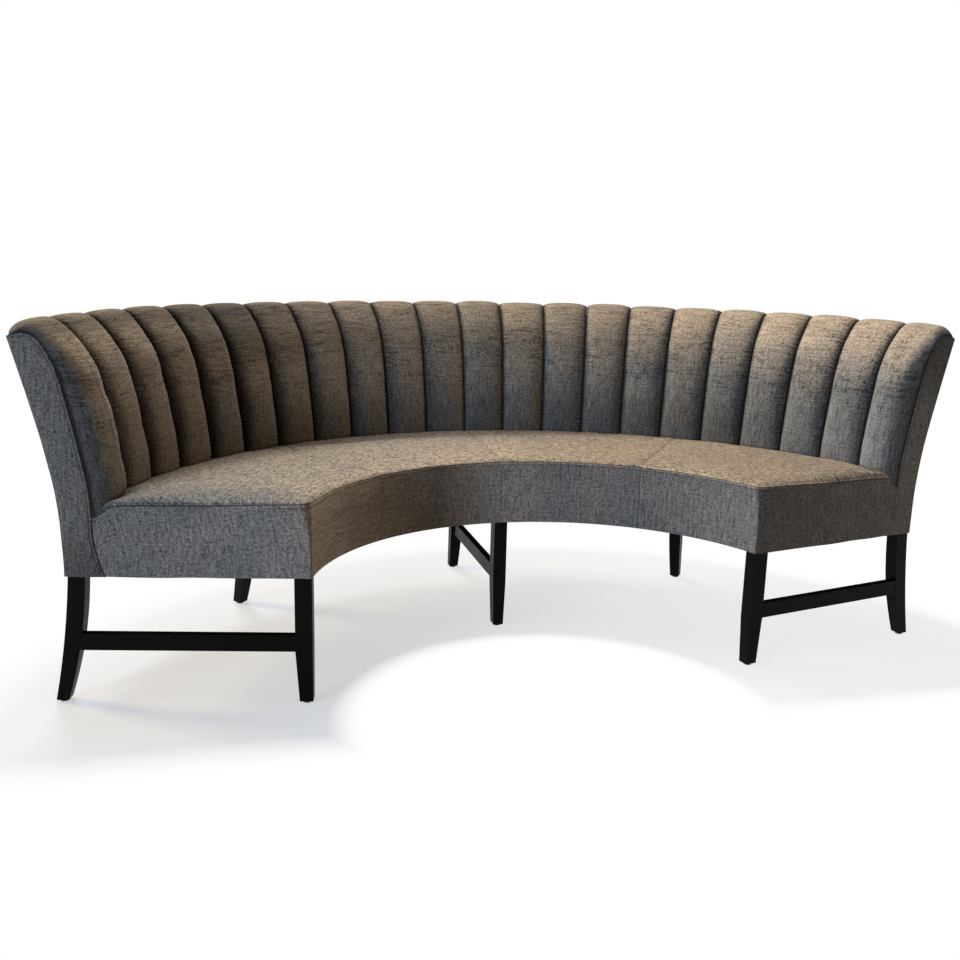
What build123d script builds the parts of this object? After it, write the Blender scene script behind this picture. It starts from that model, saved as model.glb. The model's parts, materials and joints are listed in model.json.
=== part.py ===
from build123d import *
import os
from math import asin, cos, degrees, radians, sin, sqrt

# A curved banquette bench with a channelled back, in millimetres.
# +Z is up, X runs along the bench and its open side faces -Y.
# Every piece is drawn round the vertical axis of the curve. At the end the whole bench is moved along Y,
# so that the origin lies on the floor under the middle of its footprint.
# Pieces on the +X side are drawn first, and the pieces on the -X side are their mirror images.

# Plan of the bench
seat_inner_radius = 601.0
seat_depth = 489.0              # from the front of the seat to the plane where the back begins
end_angle = 12.3                # angle between an end face and the X axis
end_offset = 61.5               # distance from the axis of the curve to an end face
quarter_angle = 37.3            # from the middle of the bench to the seams on each side

# Heights
leg_height = 310.5              # floor to the underside of the covers
seat_band_height = 181.5        # underside of the covers to the seat's front edge
seat_crown_rise = 7.0           # from the front edge to the top of the crown
rail_height = 86.0

# Soft parts
cover_thickness = 1.7
back_cover_thickness = 3.2      # outside back: fabric over its backing board
soft_gap = 0.3                  # between curved faces that lie on each other
seat_edge_radius = 12.0
seat_crown_margin = 90.0        # from where the crowned seat top levels out to the back
hem_width = 30.0

# Outside of the back: how far it stands behind the back plane, from the floor side up
back_low_thickness = 75.0
back_seat_thickness = 82.0
back_mid_thickness = 112.0
back_mid_rise = 152.0           # height of that middle point above the seat
back_edge_reach = 35.0          # the rear edge lies this far behind the crest of the grooves
back_edge_drop = 27.0           # and this far below it
back_cover_drop = 5.0           # the outside cover ends this far below the rear edge

# Channels: the line of the grooves between them, from under the seat line over the crest to the rear edge
channels_per_side = 11
end_channel_share = 0.84        # width of the channel at an end, as a share of the others
groove_foot_overhang = 23.0     # the grooves start this far in front of the back plane
groove_mid_lean = 23.0          # outward from the foot of the grooves
groove_mid_rise = 171.0         # above the seat
groove_high_setback = 87.0      # in front of the crest
groove_high_drop = 82.0         # below the crest
groove_shoulder_setback = 45.0
groove_shoulder_drop = 27.0
crest_lean = 152.0              # outward from the foot of the grooves
crest_rise = 388.0              # above the seat
channel_start_drop = 50.0       # drawn this far below the seat line, then cut level with it
channel_depth = 24.0            # from the groove line back to the lining
channel_rise_foot = 22.0        # how far a channel stands proud of its grooves at the seat
channel_rise_edge = 9.0         # and at the rear edge
channel_end_drop = 12.0         # the outer side of an end channel rounds back this far
channel_gap = 0.5               # between two channels
stations = 14                   # cross sections of a channel, closer together towards the crest
station_crowding = 1.6

# Seat frame
rail_thickness = 38.0
cross_rail_thickness = 22.0
end_rail_thickness = 25.0
housing_depth = 6.0
joint_fit = 0.2
webbing_thickness = 2.5
webbing_width = 45.0
webbing_per_side = 13
webbing_end_margin = 4.2        # angle left free beside the last strap
webbing_setback = 3.0

# Back frame
rib_thickness = 18.0
ribs_per_quarter = 2
lining_thickness = 3.0
lining_stations = 9             # the lining follows the channels over this many of their sections
top_rail_width = 26.0
top_rail_height = 36.0
top_rail_setback = 6.5          # from the crest of the grooves to the middle of the rail
top_rail_drop = 46.0            # from the crest of the grooves to the top of the rail

# Legs, stretchers and fixings
leg_width = 37.0
leg_foot_width = 29.0
leg_inset = 0.5
leg_taper_height = 131.0
front_leg_depth = 41.0
front_leg_foot_depth = 32.0
rear_leg_setback = 8.0          # from the outside of the back to the top of the leg
rear_leg_depth = 39.0
rear_leg_foot_depth = 29.0
rear_leg_sweep_mid = 17.0       # how far the sabre curve has moved out halfway down
rear_leg_sweep_foot = 45.0
foot_chamfer = 2.0
glide_height = 4.0
glide_radius = 10.0
stretcher_bottom = 131.0
stretcher_height = 40.5
stretcher_thickness = 20.0
tenon_thickness = 10.0
tenon_shoulder = 7.0
tenon_length = 15.0
bolt_radius = 5.0
bolt_length = 70.0
bolt_hole_gap = 0.1
block_setback = 14.7            # from the outside of the back to the block
block_width = 60.0
block_height = 45.0

seat_edge_height = leg_height + seat_band_height
seat_back_height = seat_edge_height + seat_crown_rise
back_plane_radius = seat_inner_radius + seat_depth
seat_crown_radius = back_plane_radius - seat_crown_margin
groove_foot_radius = back_plane_radius - groove_foot_overhang
crest_radius = groove_foot_radius + crest_lean
crest_height = seat_back_height + crest_rise
back_low_radius = back_plane_radius + back_low_thickness
back_edge_radius = crest_radius + back_edge_reach
back_edge_height = crest_height - back_edge_drop
rear_leg_top_radius = back_low_radius - rear_leg_setback
frame_bottom = leg_height + cover_thickness
rail_top = frame_bottom + rail_height
foam_bottom = rail_top + webbing_thickness
front_rail_inner = seat_inner_radius + cover_thickness + soft_gap
front_rail_outer = front_rail_inner + rail_thickness
rear_rail_inner = back_plane_radius - rail_thickness
frame_end = end_offset + cover_thickness + soft_gap
far = 3 * back_edge_radius


def face_of(points):
    """Face in the XZ plane with straight sides through (radius, height) points."""
    return make_face(Polyline(*[(r, 0, z) for r, z in points], close=True))


def turned(face, start, end):
    """Solid swept by a face in the XZ plane, round the axis from one angle to another."""
    return Rot(0, 0, start) * revolve(face, Axis.Z, end - start)


def slab(inner, outer):
    """Everything between two planes parallel to the +X end face, given as distances from the axis."""
    return Rot(0, 0, end_angle) * Pos(0, inner, 0) * Box(
        2 * far, outer - inner, 2 * far, align=(Align.CENTER, Align.MIN, Align.CENTER))


def plan_angle(radius, offset):
    """Angle from X of the point at this radius on a plane parallel to the +X end face."""
    return end_angle + degrees(asin(offset / radius))


def trace_position(radius, offset):
    """Distance along an end plane to the point at this radius from the axis."""
    return sqrt(radius * radius - offset * offset)


def sector(face, quarter, inset):
    """One quarter of a ring on the +X side: 0 is the middle one, 1 the one that stops at the end face."""
    seam = 90 - quarter_angle
    if quarter == 0:
        return turned(face, seam, 90)
    return turned(face, 0, seam) & slab(end_offset + inset, far)


def half_ring(face, inset):
    """The whole +X half of a ring, stopping at a distance inside the end face."""
    return turned(face, 0, 90) & slab(end_offset + inset, far)


def single(shape):
    """The one solid in a result."""
    return shape.solids()[0]


# Seat section: one outline, drawn at any depth inside the cover
def seat_outline(inset, bottom):
    """Edges of the seat's cross section, from the low front corner over the top to the low rear corner."""
    front = seat_inner_radius + inset
    corner = seat_edge_radius - inset
    turn_in = seat_inner_radius + seat_edge_radius
    top = seat_edge_height - inset
    level = seat_back_height - inset
    low = Line((front, 0, bottom), (front, 0, seat_edge_height - seat_edge_radius))
    edge = TangentArc(low @ 1, (turn_in, 0, top), tangent=(0, 0, 1))
    halfway_drop = (level - top) / 4        # a flat arc that ends level has a quarter of its rise left there
    crown = ThreePointArc(edge @ 1, ((turn_in + seat_crown_radius) / 2, 0, level - halfway_drop),
                          (seat_crown_radius, 0, level))
    flat = Line(crown @ 1, (back_plane_radius, 0, level))
    return [low, edge, crown, flat]


def closed_face(edges):
    """Face inside a row of edges, closed by a straight line."""
    return make_face(Wire(edges + [Line(edges[-1] @ 1, edges[0] @ 0)]))


def seat_section(inset, bottom):
    """Face of the seat's whole cross section at a depth inside the cover."""
    edges = seat_outline(inset, bottom)
    return closed_face(edges + [Line(edges[-1] @ 1, (back_plane_radius, 0, bottom))])


def seat_cover(quarter):
    """Top panel, front band and hem of one quarter, with the end band where the seat ends."""
    outer = seat_section(0, leg_height)
    inner = seat_section(cover_thickness, leg_height + cover_thickness)
    hem_end = seat_inner_radius + hem_width
    below = face_of([(hem_end, leg_height), (far, leg_height), (far, rail_top),
                     (back_plane_radius, rail_top), (back_plane_radius, frame_bottom),
                     (hem_end, frame_bottom)])
    behind = face_of([(back_plane_radius - cover_thickness, leg_height), (far, leg_height),
                      (far, seat_back_height - cover_thickness),
                      (back_plane_radius - cover_thickness, seat_back_height - cover_thickness)])
    skin = outer - inner - below - behind
    cover = sector(skin, quarter, cover_thickness)
    if quarter == 1:
        band = turned(outer, 0, 90) & slab(end_offset, end_offset + cover_thickness)
        cover = cover + band
    return cover


def seat_foam(quarter):
    """Foam slab of one quarter, crowned like the cover above it."""
    section = seat_section(cover_thickness + soft_gap, foam_bottom)
    return sector(section, quarter, cover_thickness + soft_gap)


def rail_face(inner, outer):
    return face_of([(inner, frame_bottom), (outer, frame_bottom), (outer, rail_top), (inner, rail_top)])


def cross_rail(fit):
    """Radial rail along X, let into the front and rear rails. fit is added all round for its housings."""
    start = front_rail_outer - housing_depth - fit
    end = rear_rail_inner + housing_depth + fit
    low = frame_bottom - far * (fit > 0)
    high = rail_top + far * (fit > 0)
    return Pos(start, 0, low) * Box(end - start, cross_rail_thickness + 2 * fit, high - low,
                                    align=(Align.MIN, Align.CENTER, Align.MIN))


def end_rail(fit):
    """Rail along the +X end face, let into the front and rear rails like the radial ones."""
    low = frame_bottom - far * (fit > 0)
    high = rail_top + far * (fit > 0)
    inner = front_rail_outer - housing_depth - fit
    outer = rear_rail_inner + housing_depth + fit
    ring = face_of([(inner, low), (outer, low), (outer, high), (inner, high)])
    return turned(ring, 0, 90) & slab(frame_end - fit, frame_end + end_rail_thickness + fit)


def rail_housings():
    """What is cut from the curved rails of the +X half to let in the rails between them."""
    return [Rot(0, 0, 90) * cross_rail(joint_fit), Rot(0, 0, 90 - quarter_angle) * cross_rail(joint_fit),
            end_rail(joint_fit)]


def front_rail():
    rail = half_ring(rail_face(front_rail_inner, front_rail_outer), cover_thickness + soft_gap)
    for cut in rail_housings() + front_bolt_holes():
        rail = rail - cut
    return rail


def rear_rail():
    rail = half_ring(rail_face(rear_rail_inner, back_plane_radius), cover_thickness + soft_gap)
    for cut in rail_housings():
        rail = rail - cut
    return rail


def webbing_strap(index):
    """One strap from the front rail to the rear rail, lying on both."""
    start = front_rail_inner + webbing_setback
    end = back_plane_radius - webbing_setback
    pitch = (90 - plan_angle(seat_inner_radius, end_offset) - webbing_end_margin) / webbing_per_side
    strap = Pos(start, 0, rail_top) * Box(end - start, webbing_width, webbing_thickness,
                                          align=(Align.MIN, Align.CENTER, Align.MIN))
    return Rot(0, 0, 90 - pitch * (index + 0.5)) * strap


# Back sections: points on the groove line and on lines beside it
def groove_line():
    """The line of the grooves, as an edge in the XZ plane."""
    return Spline(
        (groove_foot_radius, 0, seat_back_height - channel_start_drop),
        (groove_foot_radius, 0, seat_back_height),
        (groove_foot_radius + groove_mid_lean, 0, seat_back_height + groove_mid_rise),
        (crest_radius - groove_high_setback, 0, crest_height - groove_high_drop),
        (crest_radius - groove_shoulder_setback, 0, crest_height - groove_shoulder_drop),
        (crest_radius, 0, crest_height),
        (back_edge_radius, 0, back_edge_height))


def groove_station(place):
    """Point on the groove line, and the direction square to it, towards the sitter."""
    line = groove_line()
    along = line % place
    return line @ place, Vector(-along.Z, 0, along.X)


def station_places(count):
    """The first few places of the cross sections, as shares of the groove line's length."""
    return [1 - (1 - i / (stations - 1)) ** station_crowding for i in range(count)]


def beside_groove(depth, count):
    """Points at a depth behind the groove line, at the first few cross sections."""
    return [point - normal * depth for point, normal in map(groove_station, station_places(count))]


def outside_line(inset):
    """The outside of the back, moved in by an inset."""
    return Spline(
        (back_low_radius - inset, 0, leg_height),
        (back_plane_radius + back_seat_thickness - inset, 0, seat_back_height),
        (back_plane_radius + back_mid_thickness - inset, 0, seat_back_height + back_mid_rise),
        (back_edge_radius - inset, 0, back_edge_height - back_cover_drop))


def outside_cover_face():
    outer = outside_line(0)
    inner = outside_line(back_cover_thickness)
    top = Line(outer @ 1, inner @ 1)
    bottom = Line(inner @ 0, outer @ 0)
    return make_face(Wire([outer, top, inner, bottom]))


def back_body_face(front_inset, back_inset, low, foot_radius):
    """Section of the back between its lining side and its outside, from a height up to the rear edge."""
    outer = outside_line(back_inset)
    front = Spline(*beside_groove(front_inset, stations))
    trim = face_of([(0, low - far), (far, low - far), (far, low), (0, low)])
    body = make_face(Wire([outer, Line(outer @ 1, front @ 1), front,
                           Line(front @ 0, (foot_radius, 0, (front @ 0).Z)),
                           Line((foot_radius, 0, (front @ 0).Z), (foot_radius, 0, leg_height)),
                           Line((foot_radius, 0, leg_height), outer @ 0)]))
    return body - trim


def rib_face(low):
    return back_body_face(channel_depth + lining_thickness + 2 * soft_gap, back_cover_thickness + soft_gap,
                          low, back_plane_radius + soft_gap)


def top_rail_face(fit, rise):
    """Section of the rail that ties the ribs together under the crest."""
    centre = crest_radius - top_rail_setback
    top = crest_height - top_rail_drop
    half = top_rail_width / 2 + fit
    return face_of([(centre - half, top - top_rail_height - fit), (centre + half, top - top_rail_height - fit),
                    (centre + half, top + rise), (centre - half, top + rise)])


def rib_angles():
    """Angles of the ribs of the +X half, without the ones on the middle line and at the end."""
    seam = 90 - quarter_angle
    end = plan_angle(back_plane_radius, end_offset)
    step = quarter_angle / ribs_per_quarter
    outer_step = (seam - end) / ribs_per_quarter
    inner_ribs = [90 - step * i for i in range(1, ribs_per_quarter)]
    outer_ribs = [seam - outer_step * i for i in range(1, ribs_per_quarter)]
    return inner_ribs, seam, outer_ribs


def radial_rib(angle, low):
    """Plywood rib standing in a radial plane, notched for the top rail."""
    plate = extrude(rib_face(low), amount=rib_thickness / 2, both=True, dir=(0, 1, 0))
    return Rot(0, 0, angle) * plate - turned(top_rail_face(joint_fit, far), 0, 180)


def end_rib(low):
    """Plywood rib along the +X end face, standing on its leg block."""
    ring = turned(rib_face(low) - top_rail_face(joint_fit, far), 0, 90)
    return ring & slab(frame_end, frame_end + rib_thickness)


def back_ribs():
    """All ribs of the +X half but the middle one."""
    inner_ribs, seam, outer_ribs = rib_angles()
    on_block = frame_bottom + block_height
    ribs = [radial_rib(angle, frame_bottom) for angle in inner_ribs + outer_ribs]
    return ribs + [radial_rib(seam, on_block), end_rib(on_block)]


def lining_face():
    front = Spline(*beside_groove(channel_depth + soft_gap, lining_stations))
    rear = Spline(*beside_groove(channel_depth + soft_gap + lining_thickness, lining_stations))
    strip = make_face(Wire([front, Line(front @ 1, rear @ 1), rear, Line(rear @ 0, front @ 0)]))
    low = seat_back_height + soft_gap
    return strip - face_of([(0, 0), (far, 0), (far, low), (0, low)])


def end_panel():
    """Flat cover of the +X end of the back, from the seat's end band to the rear edge."""
    low = leg_height
    face = back_body_face(channel_depth, 0, low, back_plane_radius + soft_gap)
    return turned(face, 0, 90) & slab(end_offset, end_offset + cover_thickness)


# Channels
def channel_pitch():
    """Angle of one channel. The last one takes what is left beside the end face."""
    span = 90 - plan_angle(back_plane_radius, end_offset)
    return span / (channels_per_side - 1 + end_channel_share)


def side_point(point, angle, offset, side):
    """Where the vertical plane at this angle and offset from the axis cuts a station line.
    point gives the distance from the axis, measured in the channel's own middle plane."""
    along = (point.X + offset * sin(radians(angle))) / cos(radians(angle))
    across = offset * cos(radians(angle)) + along * sin(radians(angle))
    return Vector(point.X, across - side * channel_gap / 2, point.Z)


def channel_section(place, half, end_turn, end_shift, end_drop):
    """Cross section of a channel: flat on the lining, straight at the sides and round in front.
    half is the angle from its middle plane to its inner groove, end_turn that to its outer side."""
    point, normal = groove_station(place)
    point = Vector(point.X * cos(radians(half)), 0, point.Z)
    rise = channel_rise_foot + (channel_rise_edge - channel_rise_foot) * place * place
    back = point - normal * channel_depth
    inner_back = side_point(back, half, 0, 1)
    inner_front = side_point(point, half, 0, 1)
    outer_back = side_point(back, end_turn, end_shift, -1)
    outer_front = side_point(point - normal * end_drop, end_turn, end_shift, -1)
    peak = point + normal * rise + Vector(0, (inner_front.Y + outer_front.Y) / 2, 0)
    return Wire([
        Edge.make_line(inner_back, inner_front),
        Edge.make_three_point_arc(inner_front, peak, outer_front),
        Edge.make_line(outer_front, outer_back),
        Edge.make_line(outer_back, inner_back)])


def channel(index):
    """Foam channel of the +X half, counted from the middle. The last one stops at the end face."""
    half = channel_pitch() / 2
    middle = 90 - half * (2 * index + 1)
    end_turn, end_shift, end_drop = -half, 0, 0
    if index == channels_per_side - 1:
        end_turn, end_shift, end_drop = end_angle - middle, frame_end, channel_end_drop
    sections = [channel_section(place, half, end_turn, end_shift, end_drop)
                for place in station_places(stations)]
    body = Rot(0, 0, middle) * Solid.make_loft(sections)
    below = Box(2 * far, 2 * far, far, align=(Align.CENTER, Align.CENTER, Align.MAX))
    return single(body - Pos(0, 0, seat_back_height) * below)


# Legs, stretchers and fixings, drawn along X and turned into place
def front_leg_outline(inner):
    outer = inner + front_leg_depth
    foot = inner + front_leg_foot_depth
    return face_of([(inner, glide_height), (inner, leg_height), (outer, leg_height),
                    (outer, leg_taper_height), (foot, glide_height)])


def rear_leg_outline(outer):
    """Sabre leg: both sides are arcs that sweep out towards the floor."""
    half_way = (leg_height + glide_height) / 2
    mid = outer + rear_leg_sweep_mid
    foot = outer + rear_leg_sweep_foot
    back = ThreePointArc((outer, 0, leg_height), (mid, 0, half_way), (foot, 0, glide_height))
    front = ThreePointArc((foot - rear_leg_foot_depth, 0, glide_height), (mid - rear_leg_depth, 0, half_way),
                          (outer - rear_leg_depth, 0, leg_height))
    return make_face(Wire([back, Line(back @ 1, front @ 0), front, Line(front @ 1, back @ 0)]))


def shaped_leg(outline, near, far_side, near_foot, far_foot):
    """Leg from its outline seen from the side, tapered across between its two side faces."""
    blank = extrude(outline, amount=leg_width, both=True, dir=(0, 1, 0))
    blank = Pos(0, (near + far_side) / 2, 0) * blank
    across = make_face(Polyline((0, near, leg_height), (0, far_side, leg_height),
                                (0, far_side, leg_taper_height), (0, far_foot, glide_height),
                                (0, near_foot, glide_height), (0, near, leg_taper_height), close=True))
    leg = single(blank & extrude(across, amount=far, both=True, dir=(1, 0, 0)))
    return chamfer(leg.edges().group_by(Axis.Z)[0], foot_chamfer)


def middle_sides():
    """Side faces of a leg that stands in a radial plane, at the top and at the foot."""
    return -leg_width / 2, leg_width / 2, -leg_foot_width / 2, leg_foot_width / 2


def end_sides():
    """Side faces of a leg at the end: the one in line with the end face stays straight."""
    near = end_offset + leg_inset
    return near, near + leg_width, near, near + leg_foot_width


def front_leg_inner(at_end):
    if at_end:
        return trace_position(seat_inner_radius, end_offset) + leg_inset
    return seat_inner_radius + leg_inset


def rear_leg_outer(at_end):
    return trace_position(rear_leg_top_radius, end_offset) if at_end else rear_leg_top_radius


def leg_sides(at_end):
    return end_sides() if at_end else middle_sides()


def stretcher_line(at_end):
    """Across position of the stretcher's middle, level with the near side of an end leg."""
    near = leg_sides(at_end)[0]
    return near + leg_inset + stretcher_thickness / 2 if at_end else 0.0


def tenons(at_end, fit):
    """The stretcher's two tenons, grown by fit for the mortises."""
    start = front_leg_inner(at_end) + front_leg_depth - tenon_length - fit
    end = rear_leg_outer(at_end) + rear_leg_sweep_mid - rear_leg_depth + tenon_length + fit
    height = stretcher_height - 2 * tenon_shoulder + 2 * fit
    return Pos(start, stretcher_line(at_end), stretcher_bottom + tenon_shoulder - fit) * Box(
        end - start, tenon_thickness + 2 * fit, height, align=(Align.MIN, Align.CENTER, Align.MIN))


def bolt_places(at_end):
    """Centres of the front and rear leg bolts, as distances along and across."""
    near, far_side, _, _ = leg_sides(at_end)
    across = (near + far_side) / 2
    front = front_leg_inner(at_end) + front_leg_depth / 2
    rear = rear_leg_outer(at_end) - rear_leg_depth / 2
    return (front, across), (rear, across)


def bolt_at(place, gap):
    """Leg bolt standing half in the leg and half in the frame, grown by gap for its hole."""
    return Pos(place[0], place[1], leg_height) * Cylinder(bolt_radius + gap, bolt_length + 2 * gap)


def front_leg_blank(at_end):
    return shaped_leg(front_leg_outline(front_leg_inner(at_end)), *leg_sides(at_end))


def rear_leg_blank(at_end):
    return shaped_leg(rear_leg_outline(rear_leg_outer(at_end)), *leg_sides(at_end))


def front_leg(at_end):
    return front_leg_blank(at_end) - tenons(at_end, joint_fit) - bolt_at(bolt_places(at_end)[0], bolt_hole_gap)


def rear_leg(at_end, with_stretcher):
    leg = rear_leg_blank(at_end) - bolt_at(bolt_places(at_end)[1], bolt_hole_gap)
    return leg - tenons(at_end, joint_fit) if with_stretcher else leg


def stretcher(at_end):
    """Bar between a front and a rear leg, its shoulders cut to the legs, with a tenon at each end."""
    start = front_leg_inner(at_end) + front_leg_depth / 2
    end = rear_leg_outer(at_end) + rear_leg_sweep_mid - rear_leg_depth / 2
    bar = Pos(start, stretcher_line(at_end), stretcher_bottom) * Box(
        end - start, stretcher_thickness, stretcher_height, align=(Align.MIN, Align.CENTER, Align.MIN))
    outer = far * 2
    behind_front = Pos(front_leg_inner(at_end) + front_leg_depth, 0, 0) * Box(
        outer, outer, outer, align=(Align.MIN, Align.CENTER, Align.CENTER))
    bar = (bar & behind_front) - rear_leg_blank(at_end)
    bar = max(bar.solids(), key=lambda piece: piece.volume)
    return single(bar + tenons(at_end, 0))


def glide_places(at_end):
    """Centres of the front and rear feet, as distances along and across."""
    _, _, near_foot, far_foot = leg_sides(at_end)
    across = (near_foot + far_foot) / 2
    front = front_leg_inner(at_end) + front_leg_foot_depth / 2
    rear = rear_leg_outer(at_end) + rear_leg_sweep_foot - rear_leg_foot_depth / 2
    return (front, across), (rear, across)


def glide_at(place):
    return Pos(place[0], place[1], 0) * Cylinder(glide_radius, glide_height,
                                                 align=(Align.CENTER, Align.CENTER, Align.MIN))


def leg_block(at_end):
    """Hardwood block over a rear leg, against the rear rail, with a hole for the leg's bolt."""
    inner = back_plane_radius + soft_gap
    outer = back_low_radius - block_setback
    top = frame_bottom + block_height
    ring = face_of([(inner, frame_bottom), (outer, frame_bottom), (outer, top), (inner, top)])
    near = frame_end if at_end else -block_width / 2
    band = Pos(0, near, 0) * Box(2 * far, block_width, far, align=(Align.MIN, Align.MIN, Align.CENTER))
    return (turned(ring, -end_angle, end_angle) & band) - bolt_at(bolt_places(at_end)[1], bolt_hole_gap)


def mirrored(shape):
    return mirror(shape, about=Plane.YZ)


def both_sides(shapes):
    return shapes + [mirrored(shape) for shape in shapes]


def front_bolt_holes():
    """Bolt holes in the front rail and the hem of the +X half."""
    middle = Rot(0, 0, 90) * bolt_at(bolt_places(False)[0], bolt_hole_gap)
    end = Rot(0, 0, end_angle) * bolt_at(bolt_places(True)[0], bolt_hole_gap)
    return [middle, end]


def rear_bolt_holes():
    """Bolt holes through the dust cover of the +X half."""
    place = bolt_places(False)[1]
    holes = [Rot(0, 0, angle) * bolt_at(place, bolt_hole_gap) for angle in (90, 90 - quarter_angle)]
    return holes + [Rot(0, 0, end_angle) * bolt_at(bolt_places(True)[1], bolt_hole_gap)]


def dust_cover():
    """Flat cloth under the +X half of the frame, from the hem to the outside back."""
    inner = seat_inner_radius + hem_width + soft_gap
    outer = back_low_radius - back_cover_thickness - soft_gap
    ring = face_of([(inner, leg_height), (outer, leg_height), (outer, frame_bottom), (inner, frame_bottom)])
    cover = half_ring(ring, cover_thickness + soft_gap)
    for hole in rear_bolt_holes():
        cover = cover - hole
    return cover


def build_all():
    """Every node by name, as a list of solids."""
    nodes = {}
    quarters = ("middle", "end")
    at = {"centre": 90, "mid": 90 - quarter_angle, "end": end_angle}

    nodes["leg_front_centre"] = [Rot(0, 0, at["centre"]) * front_leg(False)]
    nodes["leg_rear_centre"] = [Rot(0, 0, at["centre"]) * rear_leg(False, True)]
    right_legs = {
        "leg_front_right": Rot(0, 0, at["end"]) * front_leg(True),
        "leg_rear_right": Rot(0, 0, at["end"]) * rear_leg(True, True),
        "leg_rear_mid_right": Rot(0, 0, at["mid"]) * rear_leg(False, False)}
    for name, leg in right_legs.items():
        nodes[name] = [leg]
        nodes[name.replace("right", "left")] = [mirrored(leg)]

    nodes["stretcher_centre"] = [Rot(0, 0, at["centre"]) * stretcher(False)]
    nodes["stretcher_right"] = [Rot(0, 0, at["end"]) * stretcher(True)]
    nodes["stretcher_left"] = [mirrored(nodes["stretcher_right"][0])]

    front, rear = glide_places(False)
    end_front, end_rear = glide_places(True)
    nodes["leg_glides"] = [Rot(0, 0, 90) * glide_at(front), Rot(0, 0, 90) * glide_at(rear)] + both_sides([
        Rot(0, 0, at["mid"]) * glide_at(rear), Rot(0, 0, at["end"]) * glide_at(end_front),
        Rot(0, 0, at["end"]) * glide_at(end_rear)])

    front, rear = bolt_places(False)
    end_front, end_rear = bolt_places(True)
    nodes["leg_bolts"] = [Rot(0, 0, 90) * bolt_at(front, 0), Rot(0, 0, 90) * bolt_at(rear, 0)] + both_sides([
        Rot(0, 0, at["mid"]) * bolt_at(rear, 0), Rot(0, 0, at["end"]) * bolt_at(end_front, 0),
        Rot(0, 0, at["end"]) * bolt_at(end_rear, 0)])
    nodes["leg_blocks"] = [Rot(0, 0, 90) * leg_block(False)] + both_sides([
        Rot(0, 0, at["mid"]) * leg_block(False), Rot(0, 0, at["end"]) * leg_block(True)])

    for name, maker in (("seat_front_rail", front_rail), ("seat_rear_rail", rear_rail)):
        rail = maker()
        nodes[name + "_right"] = [rail]
        nodes[name + "_left"] = [mirrored(rail)]
    nodes["seat_cross_rails"] = [Rot(0, 0, 90) * cross_rail(0)] + both_sides(
        [Rot(0, 0, at["mid"]) * cross_rail(0), end_rail(0)])
    nodes["seat_webbing"] = both_sides([webbing_strap(i) for i in range(webbing_per_side)])

    for index, quarter in enumerate(quarters):
        cover = seat_cover(index)
        for hole in front_bolt_holes():
            cover = cover - hole
        outside = sector(outside_cover_face(), index, cover_thickness + soft_gap)
        for base, shape in (("seat_foam", seat_foam(index)), ("seat_cover", cover),
                            ("outer_back_cover", outside)):
            nodes[base + "_right_" + quarter] = [shape]
            nodes[base + "_left_" + quarter] = [mirrored(shape)]

    for index in range(channels_per_side):
        shape = channel(index)
        nodes["back_channel_%02d" % (channels_per_side + 1 + index)] = [shape]
        nodes["back_channel_%02d" % (channels_per_side - index)] = [mirrored(shape)]

    nodes["back_ribs"] = [radial_rib(90, frame_bottom + block_height)] + both_sides(back_ribs())
    nodes["back_lining"] = both_sides([sector(lining_face(), i, cover_thickness + soft_gap)
                                       for i, _ in enumerate(quarters)])
    nodes["back_top_rail"] = both_sides([half_ring(top_rail_face(0, 0), cover_thickness + soft_gap)])
    nodes["end_panel_right"] = [end_panel()]
    nodes["end_panel_left"] = [mirrored(nodes["end_panel_right"][0])]
    nodes["dust_cover"] = both_sides([dust_cover()])
    return nodes


def write_all(nodes):
    """Centre the bench over the origin along Y, and write one file per node."""
    os.makedirs("parts", exist_ok=True)
    boxes = [shape.bounding_box() for shapes in nodes.values() for shape in shapes]
    middle = (min(box.min.Y for box in boxes) + max(box.max.Y for box in boxes)) / 2
    for name, shapes in nodes.items():
        solids = [Pos(0, -middle, 0) * solid for shape in shapes for solid in shape.solids()]
        export_step(solids[0] if len(solids) == 1 else Compound(solids), "parts/" + name + ".step")
    print("nodes", len(nodes), "arc centre at y =", round(-middle, 3))


write_all(build_all())
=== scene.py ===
import json
import bmesh
import bpy
import numpy as np
from mathutils import Matrix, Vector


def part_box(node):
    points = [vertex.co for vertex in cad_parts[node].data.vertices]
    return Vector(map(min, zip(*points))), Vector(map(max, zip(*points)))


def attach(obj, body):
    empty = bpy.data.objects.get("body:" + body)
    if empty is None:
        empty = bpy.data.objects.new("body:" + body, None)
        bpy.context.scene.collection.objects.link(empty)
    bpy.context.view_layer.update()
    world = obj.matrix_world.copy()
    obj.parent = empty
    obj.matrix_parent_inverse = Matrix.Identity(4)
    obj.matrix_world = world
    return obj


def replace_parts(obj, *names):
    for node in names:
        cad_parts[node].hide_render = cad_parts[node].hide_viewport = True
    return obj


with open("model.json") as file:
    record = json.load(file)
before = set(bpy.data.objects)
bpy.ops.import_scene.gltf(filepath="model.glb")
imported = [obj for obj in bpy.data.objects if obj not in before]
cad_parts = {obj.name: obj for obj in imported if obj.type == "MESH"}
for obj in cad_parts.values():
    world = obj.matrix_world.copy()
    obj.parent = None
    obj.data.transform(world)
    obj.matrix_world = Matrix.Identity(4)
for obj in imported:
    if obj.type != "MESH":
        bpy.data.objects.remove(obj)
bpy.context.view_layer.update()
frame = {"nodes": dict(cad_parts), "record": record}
print("frame loaded,", len(frame["nodes"]), "nodes")

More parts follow.
